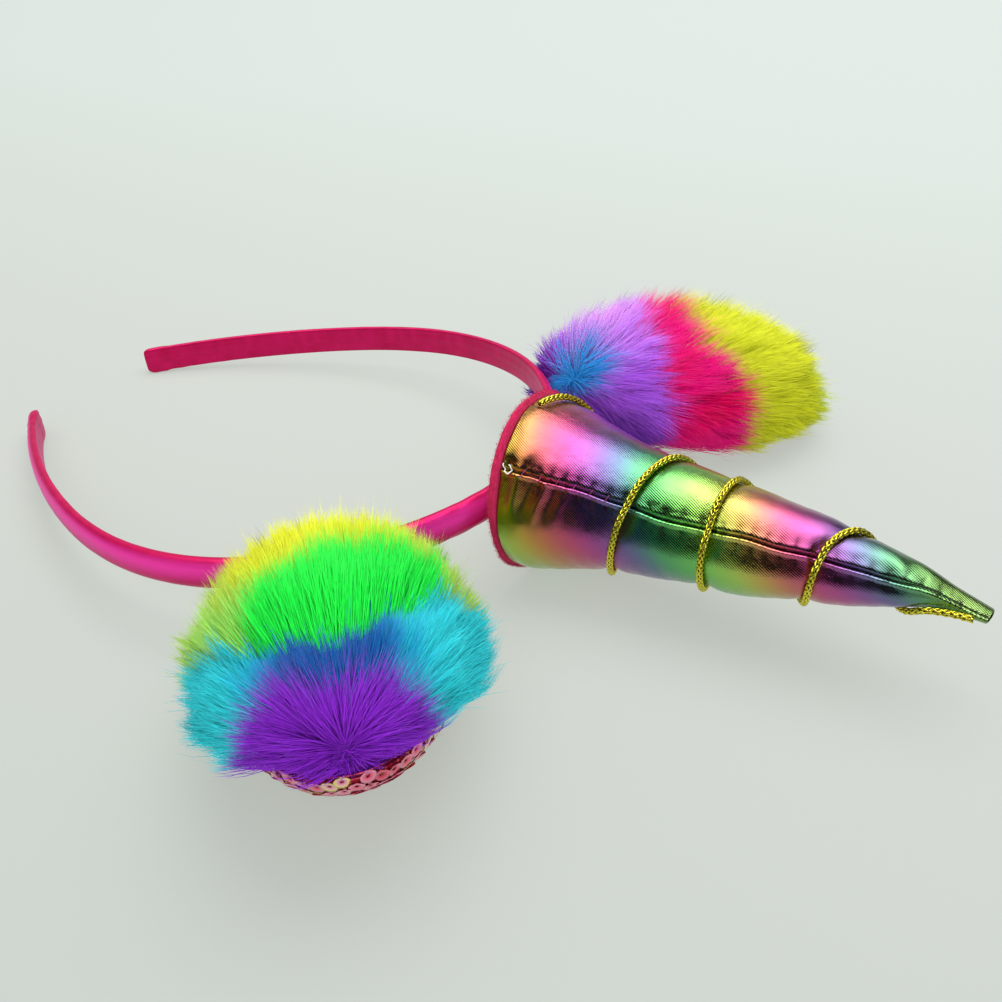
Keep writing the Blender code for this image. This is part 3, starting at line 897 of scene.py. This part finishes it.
def make_cord(gold, painted_shade_core):
    """Tubular braid: strands wound both ways that pass over and under each other, round a core painted
    near-black for the shade in the gaps between them.
    """
    total = cord_line(2)[0][-1]
    count = int(total / braid_lay * braid_steps)
    travelled, line, along, out = cord_line(count)
    side = np.cross(along, out)
    mean_radius = braid_radius - strand_radius
    points = []
    quads = []
    caps = []
    turns = np.linspace(0.0, 2 * math.pi, 6, endpoint=False)
    start = 0
    for way in (1, -1):
        crossing = 2 * math.pi * braid_strands * travelled / braid_lay
        radius = mean_radius + way * 0.00012 * np.cos(crossing)
        for strand in range(braid_strands):
            turn = way * 2 * math.pi * travelled / braid_lay + 2 * math.pi * strand / braid_strands
            ray = np.cos(turn)[:, None] * out + np.sin(turn)[:, None] * side
            centres = line + ray * radius[:, None]
            direction = unit(np.gradient(centres, axis=0))
            flank = unit(np.cross(direction, ray))
            ring = tube_points(centres, ray, flank * 1.15, np.full(count, strand_radius), turns)
            points.append(ring.reshape(-1, 3))
            quads.append(grid_faces(count, len(turns), start))
            caps.append(cap_faces(count, len(turns), start))
            start += count * len(turns)
    cord = make_piece("gold_braid", moved(band_frame, np.concatenate(points)),
                      [np.concatenate(quads), np.concatenate(caps)], [gold])
    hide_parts("horn_cord")
    _, line, along, out = cord_line(420)
    turns = np.linspace(0.0, 2 * math.pi, 10, endpoint=False)
    ring = tube_points(line, out, np.cross(along, out), np.full(420, mean_radius * 0.80), turns)
    faces = [grid_faces(420, 10), cap_faces(420, 10)]
    make_piece("cord_core", moved(band_frame, ring.reshape(-1, 3)), faces, [painted_shade_core])


# Ears


def ear_surface(direction, length, width, back, front):
    """Points of an egg-shaped shell in the given directions, with its outer end along +X."""
    x = direction[..., 0]
    y = direction[..., 1] * (1.0 - ear_taper * x) * width
    z = direction[..., 2] * np.where(direction[..., 2] > 0.0, back, front)
    return np.stack([x * length, y, z], -1)


def pad_length(direction):
    return ear_length / 2 - np.where(direction[..., 0] > 0.0, tip_rim, root_rim)


def pad_width():
    return ear_width / 2 - side_rim


def pad_point(direction, bulge=0.0):
    """Points of the pad, whose front may be stuffed fuller towards its tip."""
    front = pad_front + bulge * ease(direction[..., 0], 0.0, 0.8)
    return ear_surface(direction, pad_length(direction), pad_width(), pad_back, front)


def fur_point(direction):
    return ear_surface(direction, ear_length / 2, ear_width / 2, fur_height, fur_skirt)


def pad_normal(direction):
    """Outward normals of the pad."""
    place = pad_point(direction)
    height = np.where(direction[..., 2] > 0.0, pad_back, pad_front)
    sizes = np.stack([pad_length(direction), np.full_like(height, pad_width()), height], -1)
    return unit(place / sizes**2)


def panel_directions(x, y, tip_height=panel_edge_height):
    """Directions over the front panel, from places on its square grid between -1 and 1."""
    height = panel_edge_height + (tip_height - panel_edge_height) * ease(x, 0.3, 1.0)
    direction = unit(np.stack([x, y, -height], -1))
    return unit(direction * (panel_inset, panel_inset, 1.0))


def ear_frame(side, reach, turn, lift, node):
    """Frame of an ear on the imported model, as high as its panel's lowest point is on the node."""
    centre, angle = band_path(np.array([side * ear_arc]))
    yaw = float(angle[0]) - side * math.radians(turn)
    facing = Matrix.Rotation(yaw, 4, "Z") @ Matrix.Rotation(-math.radians(lift), 4, "Y")
    out = Matrix.Translation((reach * ear_length, 0.0, 0.0))
    place = Matrix.Translation(Vector(centre[0])) @ facing @ out
    flat = band_frame @ np.array(place)
    steps = np.linspace(-1.0, 1.0, panel_steps + 1)
    direction = panel_directions(*[grid.ravel() for grid in np.meshgrid(steps, steps)])
    shell = pad_point(direction) + pad_normal(direction) * (gap + panel_thickness)
    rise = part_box(node)[0].z - moved(flat, shell)[:, 2].min()
    flat[:3, 3] += band_frame[:3, 2] * rise / band_frame[2, 2]
    return flat


# Dyes of the fur, and painted shade in the right ear's hollow
yellow = (0.70, 0.74, 0.02)
lime = (0.38, 0.78, 0.13)
green = (0.015, 0.80, 0.06)
teal = (0.03, 0.68, 0.76)
blue = (0.01, 0.36, 0.72)
hollow_shade_navy = (0.005, 0.09, 0.36)
purple = (0.24, 0.02, 0.58)
far_blue = (0.03, 0.32, 0.84)
violet = (0.50, 0.12, 0.92)
lilac = (0.84, 0.38, 0.98)
indigo = (0.13, 0.02, 0.42)
pink = (0.90, 0.003, 0.23)
red = (0.88, 0.00, 0.10)

right_whorl = unit(np.array((0.97, -0.03, 0.22)))
left_whorl = unit(np.array((-0.80, -0.30, 0.50)))


def blend(first, second, share):
    return np.asarray(first) * (1.0 - share[:, None]) + np.asarray(second) * share[:, None]


def rise_of(spot):
    """Height in degrees of places on an ear, measured from its outer end over its back."""
    return np.degrees(np.arctan2(np.maximum(spot[:, 2], 0.0) + 0.02, spot[:, 0]))


def right_parting(y):
    """Height in degrees of the parting across the right ear, measured at the roots."""
    return 50.0 + np.where(y > 0.0, 26.0, 14.0) * y**2


def right_dye_and_shade(spot, roots):
    """Dyes of the right ear: yellow and green above a parting, teal and blue below, purple at the tip, and
    painted shade that turns the blue navy in the hollow under the parting.
    """
    y = spot[:, 1]
    wobble = smooth_noise(spot, 0.5, 41)
    rise = rise_of(spot) + 3.0 * wobble
    count = len(spot)
    warm = blend(np.tile(green, (count, 1)), lime, ease(np.abs(y) + 0.15 * wobble, 0.48, 0.80))
    crown = blend(np.tile(yellow, (count, 1)), lime, 0.7 * ease(np.abs(y), 0.45, 0.85))
    warm = blend(warm, crown, ease(rise, 80.0, 94.0))
    cool = blend(np.tile(blue, (count, 1)), teal, ease(np.abs(y) + 0.1 * wobble, 0.30, 0.70))
    # Painted shade: the blue turns navy in the hollow under the parting
    cool = blend(cool, hollow_shade_navy, ease(rise, 24.0, 36.0) * ease(-np.abs(y), -0.62, -0.25))
    tall = np.maximum(spot[:, 2] - 0.10, 0.0) / 0.50
    whorl = np.hypot((y + 0.04) / 0.60, tall) + 0.12 * wobble
    cool = blend(cool, purple, ease(-whorl, -1.10, -0.94) * ease(spot[:, 0], 0.2, 0.4))
    above = rise_of(roots) > right_parting(roots[:, 1])
    return np.where(above[:, None], warm, cool)


def left_dye(spot, roots):
    """Dyes of the left ear: blue by the band, then purple, pink and yellow at the outer end."""
    x, _, z = spot.T
    wobble = smooth_noise(spot, 0.45, 42)
    colour = np.tile(violet, (len(spot), 1))
    # Lighter lilac towards the top and the band, darker indigo underneath and towards the band
    colour = blend(colour, lilac, ease(z - 0.6 * x - 0.12 * wobble, 0.85, 1.25))
    colour = blend(colour, indigo, 0.8 * ease(-z - 0.5 * x, -0.10, 0.25))
    pinks = blend(np.tile(pink, (len(spot), 1)), red, ease(wobble + 0.6 * np.sin(5.0 * z), 0.0, 0.9))
    colour = blend(colour, pinks, ease(x + 0.10 * wobble, -0.30, -0.18))
    edge = 0.30 - 0.66 * np.maximum(z - 0.5, 0.0)
    colour = blend(colour, yellow, ease(x + 0.05 * wobble, edge - 0.03, edge + 0.05))
    colour = blend(colour, lime, 0.35 * ease(x, 0.82, 0.98))
    near_whorl = np.linalg.norm(spot - left_whorl, axis=1) + 0.06 * wobble
    return blend(colour, far_blue, ease(-near_whorl, -0.40, -0.26))


def right_flow(spot):
    """Lie of the right ear's fur: out from the whorl at its tip, standing up below the parting."""
    parting = right_parting(spot[:, 1])
    rise = rise_of(spot)
    above = rise > parting
    calm = ease(rise, parting - 24.0, parting - 4.0) * ~above
    gathered = 1.0 - 0.75 * ease(-spot[:, 0], 0.2, 0.8)
    return unit(spot - right_whorl) * (np.where(above, 1.2, 1.0) - 0.85 * calm)[:, None] * gathered[:, None]


def left_flow(spot):
    """Lie of the left ear's fur: out from the blue whorl by the band, so mostly to the outer end."""
    return unit(spot - left_whorl)


def right_length(roots):
    """Share of the full length of the right ear's strands, shorter in the hollow under the parting."""
    parting = right_parting(roots[:, 1])
    rise = rise_of(roots)
    hollow = ease(rise, parting - 20.0, parting - 7.0) * (rise < parting)
    return 1.0 - 0.26 * hollow * ease(-np.abs(roots[:, 1]), -0.85, -0.45)


def left_length(roots):
    return np.ones(len(roots))


# Each ear's dye, with painted shade in the right ear's hollow, lie, strand lengths, comb, where on a strand
# its dye is read at the root and how much further at the tip, and how high the tips are held clear of the
# front panel's tip
fur_plans = {
    "left": (left_dye, left_flow, left_length, 0.34, 0.45, 0.20, 0.0),
    "right": (right_dye_and_shade, right_flow, right_length, 0.30, 0.15, 0.75, 0.21),
}


def meets_band(points):
    """Whether places on the flat lie in the band or in the room behind it."""
    centres, angles = band_path(np.linspace(-0.13, 0.13, 160))
    outward = np.stack([np.cos(angles), np.sin(angles), np.zeros_like(angles)], -1)
    tree = KDTree(len(centres))
    for index, centre in enumerate(centres):
        tree.insert(centre, index)
    tree.balance()
    nearest = np.array([tree.find(point)[1] for point in points])
    beyond = ((points - centres[nearest]) * outward[nearest]).sum(-1) - band_thickness / 2
    return (beyond < 0.0004) & (np.abs(points[:, 2]) < band_width / 2 + 0.0004)


def fur_roots(rng, count, held):
    """Random directions over the pad, without those under its front panel."""
    direction = unit(rng.normal(size=(int(count * 1.8), 3)))
    under = np.abs(direction[:, :2]).max(1) * panel_edge_height < -direction[:, 2]
    if held > 0.0:
        under |= (direction[:, 0] > 0.45) & (direction[:, 2] < 0.0)
    return direction[~under][:count]


def fur_tips(rng, roots, plan, spread, shortest, longest):
    """Directions and places of the tips of strands, combed along the flow."""
    _, flow_of, length_of, comb, _, _, held = plan
    lean = flow_of(roots) * comb * rng.uniform(0.6, 1.35, (len(roots), 1))
    lean += rng.normal(0.0, spread, roots.shape)
    direction = roots + lean
    lowest = fur_lowest + held * ease(direction[:, 0], 0.45, 0.90)
    if held == 0.0:
        lowest = np.minimum(roots[:, 2], lowest)
    direction[:, 2] = np.maximum(direction[:, 2], lowest)
    direction = unit(direction)
    reach = rng.uniform(shortest, longest, len(roots)) * length_of(roots)
    return direction, fur_point(direction) * reach[:, None]


def make_fur(side_name, matrix, fur, part, count):
    """One coat of strands, gathered into tufts."""
    plan = fur_plans[side_name]
    dye, _, _, _, dye_root, dye_rise, held = plan
    seed = {"left": 500, "right": 900}[side_name] + part
    rng = np.random.default_rng(seed)
    guides = fur_roots(rng, tufts, held)
    _, guide_tips = fur_tips(rng, guides, plan, 0.08, 0.90, 1.07)
    tree = KDTree(len(guides))
    for index, guide in enumerate(guides):
        tree.insert(guide, index)
    tree.balance()
    directions = fur_roots(rng, count, held)
    loose = rng.random(len(directions)) < loose_share
    tip_directions, tips = fur_tips(rng, directions, plan, 0.05, 0.78, 1.06)
    nearest = np.array([tree.find(direction)[1] for direction in directions])
    pull = rng.uniform(0.20, 0.68, (len(directions), 1))
    pull[loose] = 0.0
    tips += (guide_tips[nearest] - tips) * pull
    waves = np.stack([smooth_noise(directions, 0.22, seed + 10 * k) for k in (1, 2, 3)], -1)
    tips += waves * 0.0013
    tips[loose] += unit(tips[loose]) * rng.uniform(0.0, 0.0035, (loose.sum(), 1))
    roots = pad_point(directions) * 0.97
    normals = pad_normal(directions)
    reach = np.linalg.norm(tips - roots, axis=1, keepdims=True)
    bends = roots + normals * reach * 0.42 + (tips - roots) * 0.22
    bends += rng.normal(0.0, 0.0007, bends.shape)
    steps = np.array([0.0, 0.40, 0.74, 1.0])
    t = steps[None, :, None]
    lines = (1 - t) ** 2 * roots[:, None] + 2 * t * (1 - t) * bends[:, None] + t**2 * tips[:, None]
    world = moved(matrix, lines.reshape(-1, 3))
    world[:, 2] = np.maximum(world[:, 2], table_clearance / 2)
    flat = moved(np.linalg.inv(band_frame), world)
    kept = ~meets_band(flat).reshape(-1, steps.size).any(1)
    lines = world.reshape(-1, steps.size, 3)[kept]
    directions = directions[kept]
    tip_directions = tip_directions[kept]
    outward = unit(fur_point(tip_directions) / np.array((ear_length, ear_width, fur_height * 2)) ** 2)
    outward = outward @ matrix[:3, :3].T
    along = unit(lines[:, -1] - lines[:, 0])
    sides = unit(np.cross(along, outward)) + rng.normal(0.0, 0.25, outward.shape)
    widths = rng.uniform(*strand_widths, (len(lines), 1)) * np.array([1.0, 1.0, 0.75, 0.0])
    widths[loose[kept]] *= 0.6
    points, faces = ribbons(lines, sides, widths)
    # Painted shade along a strand, darker towards its root deep in the coat, and a little white at its tip:
    # (share of the full dye, share of white)
    root_shade_and_white = ((0.72, 0.00), (0.90, 0.00), (1.0, 0.00), (1.0, 0.03))
    jitter = rng.normal(0.0, 0.018, directions.shape)
    tone = rng.uniform(0.86, 1.05, (len(directions), 1))
    rows = []
    for index, (depth, white) in enumerate(root_shade_and_white):
        at = dye_root + dye_rise * steps[index]
        spot = unit(directions * (1.0 - at) + tip_directions * at + jitter)
        tint = dye(spot, directions) * tone * depth * (1.0 - white) + white
        rows += [tint] if index == len(root_shade_and_white) - 1 else [tint, tint]
    tints = np.clip(np.stack(rows, 1).reshape(-1, 3), 0.0, 1.0)
    tints = np.concatenate([tints, np.ones((len(tints), 1))], 1)
    name = "fur_" + side_name + "_" + str(part)
    coat = make_piece(name, points, faces, [fur], {"dye": tints}, solid=False)
    # Soft shading: each strand faces out of the coat more than its own flat side does
    facing = unit(np.cross(sides, along) + 1.6 * outward)
    coat.data.normals_split_custom_set_from_vertices(np.repeat(facing, 2 * steps.size - 1, axis=0))
    return coat


def make_pad(side_name, matrix, fur):
    """Stuffed pad under the fur, in the colours of its roots, painted at less than half their strength as
    the shade deep in the coat.
    """
    bulge = front_bulges[side_name]
    rows = 60
    columns = 96
    tilt = np.linspace(0.0, math.pi, rows + 2)[1:-1]
    turn = np.linspace(0.0, 2 * math.pi, columns, endpoint=False)
    tilt, turn = np.meshgrid(tilt, turn, indexing="ij")
    direction = np.stack([np.sin(tilt) * np.cos(turn), np.sin(tilt) * np.sin(turn), np.cos(tilt)], -1)
    direction = direction.reshape(-1, 3)
    sunk = 0.0003 + 0.0002 * smooth_noise(direction, 0.3, 51)
    points = pad_point(direction, bulge) - pad_normal(direction) * sunk[:, None]
    inner = moved(np.linalg.inv(band_frame) @ matrix, points)
    centres, angles = band_path(np.linspace(-0.13, 0.13, 400))
    outward = np.stack([np.cos(angles), np.sin(angles), np.zeros_like(angles)], -1)
    nearest = np.linalg.norm(inner[:, None] - centres[None], axis=2).argmin(1)
    beyond = ((inner - centres[nearest]) * outward[nearest]).sum(-1) - band_thickness / 2 - 0.0004
    inside = (beyond < 0.0) & (np.abs(inner[:, 2]) < band_width / 2 + 0.0006)
    inner[inside] -= outward[nearest[inside]] * beyond[inside][:, None]
    points = moved(band_frame, inner)
    # Painted shade: the pad takes the ear's colours at 0.45 of their strength
    dye = fur_plans[side_name][0](direction, direction) * 0.45
    dye = np.concatenate([dye, np.ones((len(dye), 1))], 1)
    faces = [grid_faces(rows, columns), cap_faces(rows, columns)]
    pad = make_piece("ear_pad_" + side_name, points, faces, [fur], {"dye": dye})
    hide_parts("ear_" + side_name + "_fur")


def make_panel(side_name, matrix, sequin):
    """Curved backing of the ear's front, covered in overlapping ring sequins."""
    steps = 28
    spread = np.linspace(-1.0, 1.0, steps)
    x, y = [grid.ravel() for grid in np.meshgrid(spread, spread, indexing="ij")]
    bulge = front_bulges[side_name]
    direction = panel_directions(x, y, 0.08 if bulge > 0.0 else panel_edge_height)
    inner = pad_point(direction, bulge) + pad_normal(direction) * gap
    outer = pad_point(direction, bulge) + pad_normal(direction) * (gap + panel_thickness * 0.65)
    points = np.concatenate([inner, outer])
    flat = grid_faces(steps, steps, 0, False)
    border = np.concatenate([np.arange(steps), np.arange(1, steps) * steps + steps - 1,
                             (steps - 1) * steps + np.arange(steps - 2, -1, -1),
                             np.arange(steps - 2, 0, -1) * steps])
    after = np.roll(border, -1)
    walls = np.stack([border, after, after + steps * steps, border + steps * steps], -1)
    faces = [flat[:, ::-1], flat + steps * steps, walls[:, ::-1]]
    tone = np.full(len(points), 0.12)
    world = moved(matrix, points)
    world[:, 2] = np.maximum(world[:, 2], table_clearance)
    panel = make_piece("sequin_backing_" + side_name, world, faces, [sequin], {"tone": tone})
    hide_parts("ear_" + side_name + "_panel")
    make_sequins(side_name, matrix, sequin)


def make_sequins(side_name, matrix, sequin):
    """Cup sequins with a hole, set in staggered rows, each tilted a little over the next."""
    rng = np.random.default_rng({"left": 61, "right": 62}[side_name])
    sides = 10
    turns = np.linspace(0.0, 2 * math.pi, sides, endpoint=False)
    # Profile of a sequin from its hole outwards and back underneath: (radius, height)
    profile = np.array(((0.00030, 0.00004), (0.00055, 0.00002), (0.00105, 0.00016), (0.00150, 0.00022),
                        (0.00148, 0.00012), (0.00055, -0.00006)))
    pitch = 0.00265
    points = []
    tones = []
    bulge = front_bulges[side_name]
    for row in range(-13, 14):
        for column in range(-17, 18):
            direction = panel_place(((column + 0.5 * (row % 2)) * pitch, row * pitch * 0.87), bulge > 0.0)
            if direction is None:
                continue
            normal = pad_normal(direction)[0]
            centre = pad_point(direction, bulge)[0] + normal * (gap + panel_thickness * 0.65 + 0.00012)
            first = unit(np.cross(normal, (0.0, 1.0, 0.0)))
            second = np.cross(normal, first)
            tipped = unit(normal + rng.normal(0.0, 0.06, 3))
            ring = np.cos(turns)[:, None] * first + np.sin(turns)[:, None] * second
            ring -= (ring @ tipped)[:, None] * tipped
            cup = centre + ring[None] * profile[:, :1, None] + tipped * profile[:, 1][:, None, None]
            points.append(cup.reshape(-1, 3))
            # Painted shade and highlight: each cup darker at its hole and underneath and lighter on its
            # raised rim; about one sequin in seven set gold as a painted glint
            base = rng.uniform(0.25, 0.75) if rng.random() < 0.85 else 0.97
            painted_shading = np.array((base - 0.35, base - 0.30, base, base + 0.12, base, base - 0.2))
            tones.append(np.repeat(np.clip(painted_shading, 0.0, 1.0), sides))
    rings = len(profile)
    faces = np.concatenate([grid_faces(rings, sides, k * rings * sides) for k in range(len(points))])
    closing = np.concatenate([np.arange(sides)[:, None] + k * rings * sides for k in range(len(points))])
    base = closing - closing % (rings * sides)
    step = closing % sides
    after = (step + 1) % sides
    last = (rings - 1) * sides
    joins = np.concatenate([base + last + step, base + last + after, base + after, base + step], 1)
    world = moved(matrix, np.concatenate(points))
    world[:, 2] = np.maximum(world[:, 2], table_clearance / 2)
    make_piece("sequins_" + side_name, world, [faces, joins], [sequin],
               {"tone": np.concatenate(tones)})


def panel_place(place, to_tip):
    """Direction of the pad's underside at a place measured over it, or nothing outside the panel."""
    reach = math.hypot(*place)
    turn = math.atan2(place[1], place[0])
    length = ear_length / 2 - (tip_rim if place[0] > 0.0 else root_rim)
    across = 1.0 / math.hypot(math.cos(turn) / length, math.sin(turn) / pad_width())
    tilt = np.linspace(0.0, math.pi / 2, 60)
    arc = running_total(np.hypot(across * np.cos(tilt), pad_front * np.sin(tilt)), tilt)
    if reach > arc[-1]:
        return None
    lean = float(np.interp(reach, arc, tilt))
    x = across * math.cos(turn) / length * math.sin(lean)
    y = across * math.sin(turn) / pad_width() * math.sin(lean)
    z = -math.cos(lean)
    lowest = 0.10 if to_tip and x > 0.35 else max(abs(x), abs(y)) * panel_edge_height * 1.03
    return np.array([[x, y, z]]) if -z > lowest else None


def make_ears(fur, sequin):
    for side_name, side, reach, turn, lift in ears:
        node = "ear_" + side_name + "_panel"
        matrix = ear_frame(side, reach, turn, lift, node)
        make_pad(side_name, matrix, fur)
        make_panel(side_name, matrix, sequin)
        count = fur_strands[side_name]
        for part in fur_coats:
            make_fur(side_name, matrix, fur, part, count)


# Studio


camera_turn = math.radians(29.9)
camera_back = 0.2090
camera_height = 0.1443
camera_aim = (0.0058, 0.0104)
camera_lens = 39.0

# Pale table: its own colour, then its glow as (share of the reach below, red, green, blue)
floor_albedo = (0.15, 0.155, 0.15, 1.0)
floor_glow_reach = (-0.25, 1.0)
floor_glow = (
    (0.0, 0.32, 0.37, 0.33),
    (0.2, 0.42, 0.45, 0.41),
    (0.5, 0.51, 0.57, 0.53),
    (1.0, 0.60, 0.65, 0.63),
)
backdrop_colour = (0.74, 0.78, 0.75, 1.0)

# Skies, as rows of (cosine of the angle from an axis, brightness): the soft light from above, the
# panel that reflections see overhead, and the dim room that they see beyond the object
sky_strength = 1.55
sky_levels = ((0.0, 0.16), (0.45, 0.26), (0.64, 0.45), (0.80, 0.85), (1.0, 1.0))
mirror_strength = 3.9
panel_tilt = math.radians(7.0)
panel_levels = ((0.50, 0.004), (0.74, 0.010), (0.79, 0.12), (0.85, 0.85), (1.0, 1.0))
beyond_levels = ((0.50, 0.0), (0.80, 0.10), (1.0, 0.14))

# Lamps, as rows of (name, place seen from the camera's side, size, power)
lamps = (
    ("key", (0.15, 0.25, 0.95), 0.90, 8.0),
    ("fill", (-0.15, -0.90, 0.60), 0.80, 6.0),
)


def make_camera():
    crown = Vector(band_frame[:3, 3])
    turn = Matrix.Rotation(camera_turn, 3, "Z")
    aim = crown + turn @ Vector((-camera_aim[0], -camera_aim[1], 0.0))
    eye = aim + turn @ Vector((0.0, -camera_back, camera_height))
    data = bpy.data.cameras.new("camera")
    data.lens = camera_lens
    data.sensor_width = 36.0
    data.sensor_fit = "HORIZONTAL"
    data.clip_start = 0.01
    camera = bpy.data.objects.new("camera", data)
    camera.location = eye
    camera.rotation_euler = (aim - eye).to_track_quat("-Z", "Y").to_euler()
    bpy.context.scene.collection.objects.link(camera)
    bpy.context.scene.camera = camera
    return aim, turn


def make_floor(turn):
    size = 12.0
    points = np.array([(-size, -size, 0.0), (size, -size, 0.0), (size, size, 0.0), (-size, size, 0.0)])
    mesh = bpy.data.meshes.new("floor")
    mesh.from_pydata([tuple(point) for point in points], [], [(0, 1, 2, 3)])
    mat, shader = surface("pale_floor", Roughness=0.7, Base_Color=floor_albedo, Emission_Strength=1.0,
                          Specular_IOR_Level=0.0)
    place = add_node(mat, "ShaderNodeTexCoord")
    away = add_node(mat, "ShaderNodeVectorMath", {"operation": "DOT_PRODUCT"})
    away.inputs[1].default_value = turn @ Vector((0.35, 0.94, 0.0))
    join(mat, place, "Object", away, "Vector")
    # Glow of the pale table by the distance away from the camera
    spread = add_node(mat, "ShaderNodeMapRange")
    spread.inputs["From Min"].default_value = floor_glow_reach[0]
    spread.inputs["From Max"].default_value = floor_glow_reach[1]
    join(mat, away, "Value", spread, "Value")
    glow = ramp(mat, floor_glow)
    join(mat, spread, "Result", glow, "Fac")
    join(mat, glow, "Color", shader, "Emission Color")
    mesh.materials.append(mat)
    floor = bpy.data.objects.new("floor", mesh)
    bpy.context.scene.collection.objects.link(floor)


def sky_ramp(tree, axis, stops):
    """Brightness of the sky by the cosine of the angle from an axis."""
    place = tree.nodes.new("ShaderNodeTexCoord")
    toward = tree.nodes.new("ShaderNodeVectorMath")
    toward.operation = "DOT_PRODUCT"
    toward.inputs[1].default_value = axis
    tree.links.new(place.outputs["Generated"], toward.inputs[0])
    levels = tree.nodes.new("ShaderNodeValToRGB")
    while len(levels.color_ramp.elements) < len(stops):
        levels.color_ramp.elements.new(0.5)
    for element, (cosine, level) in zip(levels.color_ramp.elements, stops):
        element.position = cosine
        element.color = (level, level, level, 1.0)
    tree.links.new(toward.outputs["Value"], levels.inputs["Fac"])
    return levels


def make_sky(turn):
    """Soft light from above. Reflections see one bright panel overhead and a dim room."""
    world = bpy.data.worlds.new("studio")
    bpy.context.scene.world = world
    world.use_nodes = True
    tree = world.node_tree
    soft = sky_ramp(tree, (0.0, 0.0, 1.0), sky_levels)
    lit = tree.nodes["Background"]
    lit.inputs["Strength"].default_value = sky_strength
    tree.links.new(soft.outputs["Color"], lit.inputs["Color"])
    overhead = Vector((0.0, math.sin(panel_tilt), math.cos(panel_tilt)))
    panel = sky_ramp(tree, turn @ overhead, panel_levels)
    beyond = sky_ramp(tree, turn @ Vector((0.0, 1.0, 0.0)), beyond_levels)
    both = tree.nodes.new("ShaderNodeMix")
    both.data_type = "RGBA"
    both.blend_type = "ADD"
    both.inputs[0].default_value = 1.0
    tree.links.new(panel.outputs["Color"], both.inputs[6])
    tree.links.new(beyond.outputs["Color"], both.inputs[7])
    mirrored = tree.nodes.new("ShaderNodeBackground")
    mirrored.inputs["Strength"].default_value = mirror_strength
    tree.links.new(both.outputs[2], mirrored.inputs["Color"])
    rays = tree.nodes.new("ShaderNodeLightPath")
    chooser = tree.nodes.new("ShaderNodeMixShader")
    tree.links.new(rays.outputs["Is Glossy Ray"], chooser.inputs[0])
    tree.links.new(lit.outputs[0], chooser.inputs[1])
    tree.links.new(mirrored.outputs[0], chooser.inputs[2])
    backdrop = tree.nodes.new("ShaderNodeBackground")
    backdrop.inputs["Color"].default_value = backdrop_colour
    shown = tree.nodes.new("ShaderNodeMixShader")
    tree.links.new(rays.outputs["Is Camera Ray"], shown.inputs[0])
    tree.links.new(chooser.outputs[0], shown.inputs[1])
    tree.links.new(backdrop.outputs[0], shown.inputs[2])
    tree.links.new(shown.outputs[0], tree.nodes["World Output"].inputs["Surface"])


def make_lamp(name, place, aim, size, power):
    """Soft lamp that reflections don't show."""
    data = bpy.data.lights.new(name, "AREA")
    data.size = size
    data.energy = power
    lamp = bpy.data.objects.new(name, data)
    lamp.location = place
    lamp.rotation_euler = (aim - place).to_track_quat("-Z", "Y").to_euler()
    lamp.visible_glossy = False
    bpy.context.scene.collection.objects.link(lamp)


def make_lights(aim, turn):
    make_sky(turn)
    for name, place, size, power in lamps:
        make_lamp(name, aim + turn @ Vector(place), aim, size, power)


bpy.context.scene.view_settings.view_transform = "Standard"
aim, turn = make_camera()
make_floor(turn)
make_lights(aim, turn)
make_band(satin_material())
make_felt(felt_material())
make_horn(foil_material(), lining_material())
make_stitches(
    thread_material("dark_thread", (0.10, 0.01, 0.05), (0.30, 0.03, 0.14), 0.6),
    thread_material("white_thread", (0.60, 0.60, 0.56), (0.80, 0.80, 0.76), 0.7),
)
make_cord(
    thread_material("gold_thread", (0.62, 0.54, 0.03), (0.90, 0.82, 0.09), 0.24, 1.0),
    # Painted shade: near-black core that darkens the gaps between the braid's strands
    thread_material("painted_shade_core", (0.010, 0.008, 0.004), (0.035, 0.030, 0.010), 0.9),
)
make_ears(fur_material(), sequin_material())
